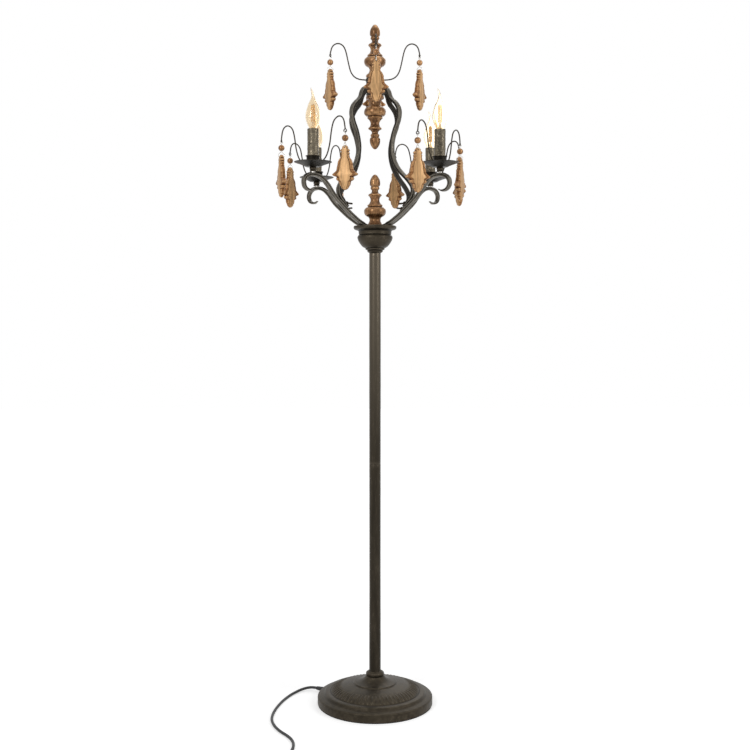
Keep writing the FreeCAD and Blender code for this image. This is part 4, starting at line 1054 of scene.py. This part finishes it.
def drops():
    """Number, angle the pendant faces and matrix of each drop, from the joints of the frame."""
    joints = {joint["name"]: joint for joint in frame["joints"]}
    for number in range(1, 13):
        swing = joints["link_swing_%d" % number]
        axis = Vector(swing["axis"])
        face = math.atan2(-axis.x, axis.y)
        yield number, face, Matrix.Translation(swing["pos_m"]) @ Matrix.Rotation(face, 4, "Z")


class LAMP_OT_hooks(Operator):
    """Wire hooks on the drip pans and on the hub"""
    bl_idname = "lamp.hooks"
    bl_label = "Hooks"

    def execute(self, context):
        radius = context.scene.lamp_sizes.wire / 2 / MM
        places = list(drops())
        lower, upper = [], []
        for number, face, place in places[:8]:
            arm = ARM_ANGLE + (number - 1) // 2 * math.pi / 2
            light = Vector((LIGHTS * math.cos(arm), LIGHTS * math.sin(arm), PAN_RIM))
            away = place.translation / MM - light
            plane = math.atan2(away.y, away.x)
            line = PAN_HOOK + [(x, PAN_RIM + share * (away.z + BELOW)) for x, share in PAN_HOOK_RISE]
            bent = hook(line, face + math.pi / 2 - plane, radius)
            lower.append(moved(bent, shift(light.x, light.y) @ Matrix.Rotation(plane, 4, "Z")))
        for k, (_, face, _) in enumerate(places[8:]):
            plane = k * math.pi / 2
            bent = hook(TOP_HOOK, face + math.pi / 2 - plane, radius)
            upper.append(moved(bent, Matrix.Rotation(plane, 4, "Z")))
        finish = finish_named("hook_wire", bronze_finish, 0.9, (1, 1, 1), 0.42)
        for node, meshes in (("pan_hooks", lower), ("top_hooks", upper)):
            piece(node + "_dressed", joined(node + "_dressed", meshes), finish, replaces=[node])
        return {"FINISHED"}


# half width and half thickness of the pendant at depths below its top
PENDANT_WIDTH = [(0, 0.6), (1.5, 3.9), (4.5, 6.3), (7.5, 7.0), (9.5, 9.0), (12.5, 10.3), (15, 9.4), (17.5, 10.4),
                 (20, 9.6), (22.5, 10.4), (26, 10.0), (30, 12.4), (35, 15.6), (41, 17.6), (47, 18.7), (53, 19.6),
                 (57, 21.2), (60.5, 24.4), (63, 28.0), (65, 29.7), (66.8, 28.9), (69, 24.6), (71.5, 21.2),
                 (75, 20.6), (78.5, 18.6), (81, 14.8), (84, 12.8), (88, 12.0), (92, 10.2), (96, 7.2), (99.2, 3.6),
                 (100.2, 0.5)]
PENDANT_DEPTH = [(0, 2.6), (4.5, 5.0), (10, 5.8), (20, 5.6), (30, 5.9), (45, 6.3), (60, 7.0), (66, 7.3), (75, 6.8),
                 (85, 6.0), (93, 5.0), (98, 3.6), (100.2, 1.4)]
PENDANT_TOP = LINK_PIN + 5.5
PENDANT_LENGTH = 100.2
# cuts across the carved edge: depth below the top, how deep, and how long
EDGE_CUTS = [(7.5, 1.3, 1.1), (15.0, 1.5, 1.4), (22.5, 1.6, 1.6), (44.0, 1.3, 3.0), (56.0, 1.2, 1.8),
             (71.5, 3.2, 2.0), (81.0, 2.2, 1.8), (92.0, 1.4, 1.6)]


def pendant_mesh(relief):
    """A carved slab: keeled faces with a creased border, and thick edges cut into lobes and leaves."""
    rows, around = 170, 64
    depths = np.linspace(0, PENDANT_LENGTH, rows)
    width, thick = smooth(PENDANT_WIDTH, 10), smooth(PENDANT_DEPTH, 10)
    w = np.interp(depths, [p[0] for p in width], [p[1] for p in width])
    h = np.interp(depths, [p[0] for p in thick], [p[1] for p in thick])
    points, face_mark = [], []
    for k, depth in enumerate(depths):
        cut = sum(deep * math.exp(-((depth - at) / long) ** 2) for at, deep, long in EDGE_CUTS)
        volute = math.exp(-((depth - 64.0) / 5.0) ** 2)
        for c in range(around):
            a = FULL_TURN * c / around
            u = math.copysign(abs(math.cos(a)) ** 0.55, math.cos(a))
            v = math.copysign(abs(math.sin(a)) ** 0.45, math.sin(a))
            rim = max(0.0, (abs(u) - 0.58) / 0.42)
            crease = 1.3 * relief * math.exp(-((abs(u) - 0.66) / 0.06) ** 2) * min(1.0, depth / 30)
            keel = 0.55 * relief * (1 - min(1.0, abs(u) / 0.5)) * min(1.0, depth / 30)
            groove = 1.4 * volute * math.exp(-(v / 0.22) ** 2) * rim
            y = (w[k] - cut * 0.45 * rim - groove) * u
            x = (h[k] * (1 + 0.10 * volute * rim) - cut * 0.8 * rim - crease + keel) * v
            points.append((x, y, PENDANT_TOP - depth))
            face_mark.append(1.0 - min(1.0, max(0.0, (abs(u) - 0.58) / 0.1)) if abs(v) > 0.9 else 0.0)
    faces = []
    for k in range(rows - 1):
        for c in range(around):
            n = (c + 1) % around
            faces.append([k * around + c, k * around + n, (k + 1) * around + n, (k + 1) * around + c])
    for ring_start, height in ((0, PENDANT_TOP + 0.2), ((rows - 1) * around, PENDANT_TOP - PENDANT_LENGTH - 0.2)):
        points.append((0, 0, height))
        face_mark.append(0.5)
        for c in range(around):
            faces.append([ring_start + c, ring_start + (c + 1) % around, len(points) - 1])
    mesh = mesh_of("pendant", points, faces)
    mend(mesh)
    mark_relief(mesh, 2.2)
    store(mesh, "face", face_mark)
    return mesh


def drilled(mesh, drill):
    """mesh with the drill's shape cut out of it."""
    blank, tool = placed("blank", mesh), placed("drill", drill)
    cut = blank.modifiers.new("Drill", "BOOLEAN")
    cut.object, cut.operation, cut.solver = tool, "DIFFERENCE", "EXACT"
    made = evaluated(blank)
    for obj in (blank, tool):
        bpy.data.objects.remove(obj)
    return made


CLIP_HALF = 7.45                                # half the width of the clip at the end of a link
BEAD_HEIGHT = -13.6


class LAMP_OT_drops(Operator):
    """Wire links, beads and carved pendants"""
    bl_idname = "lamp.drops"
    bl_label = "Drops"

    def execute(self, context):
        sizes = context.scene.lamp_sizes
        radius = sizes.bead / 2 / MM
        wood = finish_named("carved_wood", carved_wood_finish)
        bead_wood = finish_named("bead_wood", turned_wood_finish, 1.1)
        loop = [(3.0 * math.sin(a), 0, -0.8 + 3.0 * math.cos(a)) for a in np.linspace(0, FULL_TURN, 25)[:-1]]
        stem = [(0, 0, -3.7), (0, 0, -12), (0, 0, -20), (0, 0, -22.6)]
        side = [(-4, 0, -25.4), (-CLIP_HALF, 0, -28.4), (-CLIP_HALF, 0, LINK_PIN)]
        clip = rounded([(0, 0, -22.5)] + side + [(0, 0, LINK_PIN)] + [(-x, y, z) for x, y, z in side[::-1]]
                       + [(0, 0, -22.5)], 5)
        link = joined("link", [wire("loop", loop, 0.7, True), wire("stem", stem, 0.7), wire("clip", clip, 0.7)])
        profile = [(radius * math.sin(a), BEAD_HEIGHT + radius * math.cos(a))
                   for a in np.linspace(0.16, math.pi - 0.16, 25)]
        ends = [(0.9, profile[0][1] - 0.5)], [(0.9, profile[-1][1] + 0.5)]
        bead = lathe("bead", [ends[0]] + [[p] for p in profile] + [ends[1]], 48, 4, 0.1)
        mark_relief(bead)
        bore = wire("bore", [(-12, 0, LINK_PIN), (12, 0, LINK_PIN)], 1.35, sides=20)
        pendant = drilled(pendant_mesh(sizes.pendant_relief / MM), bore)
        for number, face, place in drops():
            body = "link_%d" % number
            piece("wire_link_%d" % number, moved(link, place), bright_steel(), body)
            piece("bead_%d" % number, moved(bead, place), bead_wood, body, ["bead_link_%d" % number])
            piece("carved_pendant_%d" % number, moved(pendant, place), wood, "drop_%d" % number,
                  ["pendant_%d" % number], sharp=60)
        return {"FINISHED"}


class LAMP_PT_panel(Panel):
    """Sizes, colours and pieces of the lamp"""
    bl_idname = "LAMP_PT_panel"
    bl_label = "Floor lamp"
    bl_space_type = "VIEW_3D"
    bl_region_type = "UI"
    bl_category = "Lamp"

    def draw(self, context):
        for group in (context.scene.lamp_sizes, context.scene.lamp_colours, context.scene.lamp_stage):
            box = self.layout.box()
            for key in group.__annotations__:
                box.prop(group, key)
        for operator in PIECES:
            self.layout.operator(operator.bl_idname)


PIECES = (LAMP_OT_stage, LAMP_OT_cord, LAMP_OT_base, LAMP_OT_pole, LAMP_OT_bowl, LAMP_OT_frame, LAMP_OT_finials,
          LAMP_OT_lights, LAMP_OT_hooks, LAMP_OT_drops)
GROUPS = (("lamp_sizes", LampSizes), ("lamp_colours", LampColours), ("lamp_stage", LampStage))


def register():
    for name, group in GROUPS:
        bpy.utils.register_class(group)
        setattr(bpy.types.Scene, name, PointerProperty(type=group))
    for operator in PIECES:
        bpy.utils.register_class(operator)
    bpy.utils.register_class(LAMP_PT_panel)


def unregister():
    bpy.utils.unregister_class(LAMP_PT_panel)
    for operator in reversed(PIECES):
        bpy.utils.unregister_class(operator)
    for name, group in GROUPS:
        delattr(bpy.types.Scene, name)
        bpy.utils.unregister_class(group)


def main():
    register()
    bpy.ops.lamp.stage()
    bpy.ops.lamp.cord()
    bpy.ops.lamp.base()
    bpy.ops.lamp.pole()
    bpy.ops.lamp.bowl()
    bpy.ops.lamp.frame()
    bpy.ops.lamp.finials()
    bpy.ops.lamp.lights()
    bpy.ops.lamp.hooks()
    bpy.ops.lamp.drops()


if __name__ == "__main__":
    main()
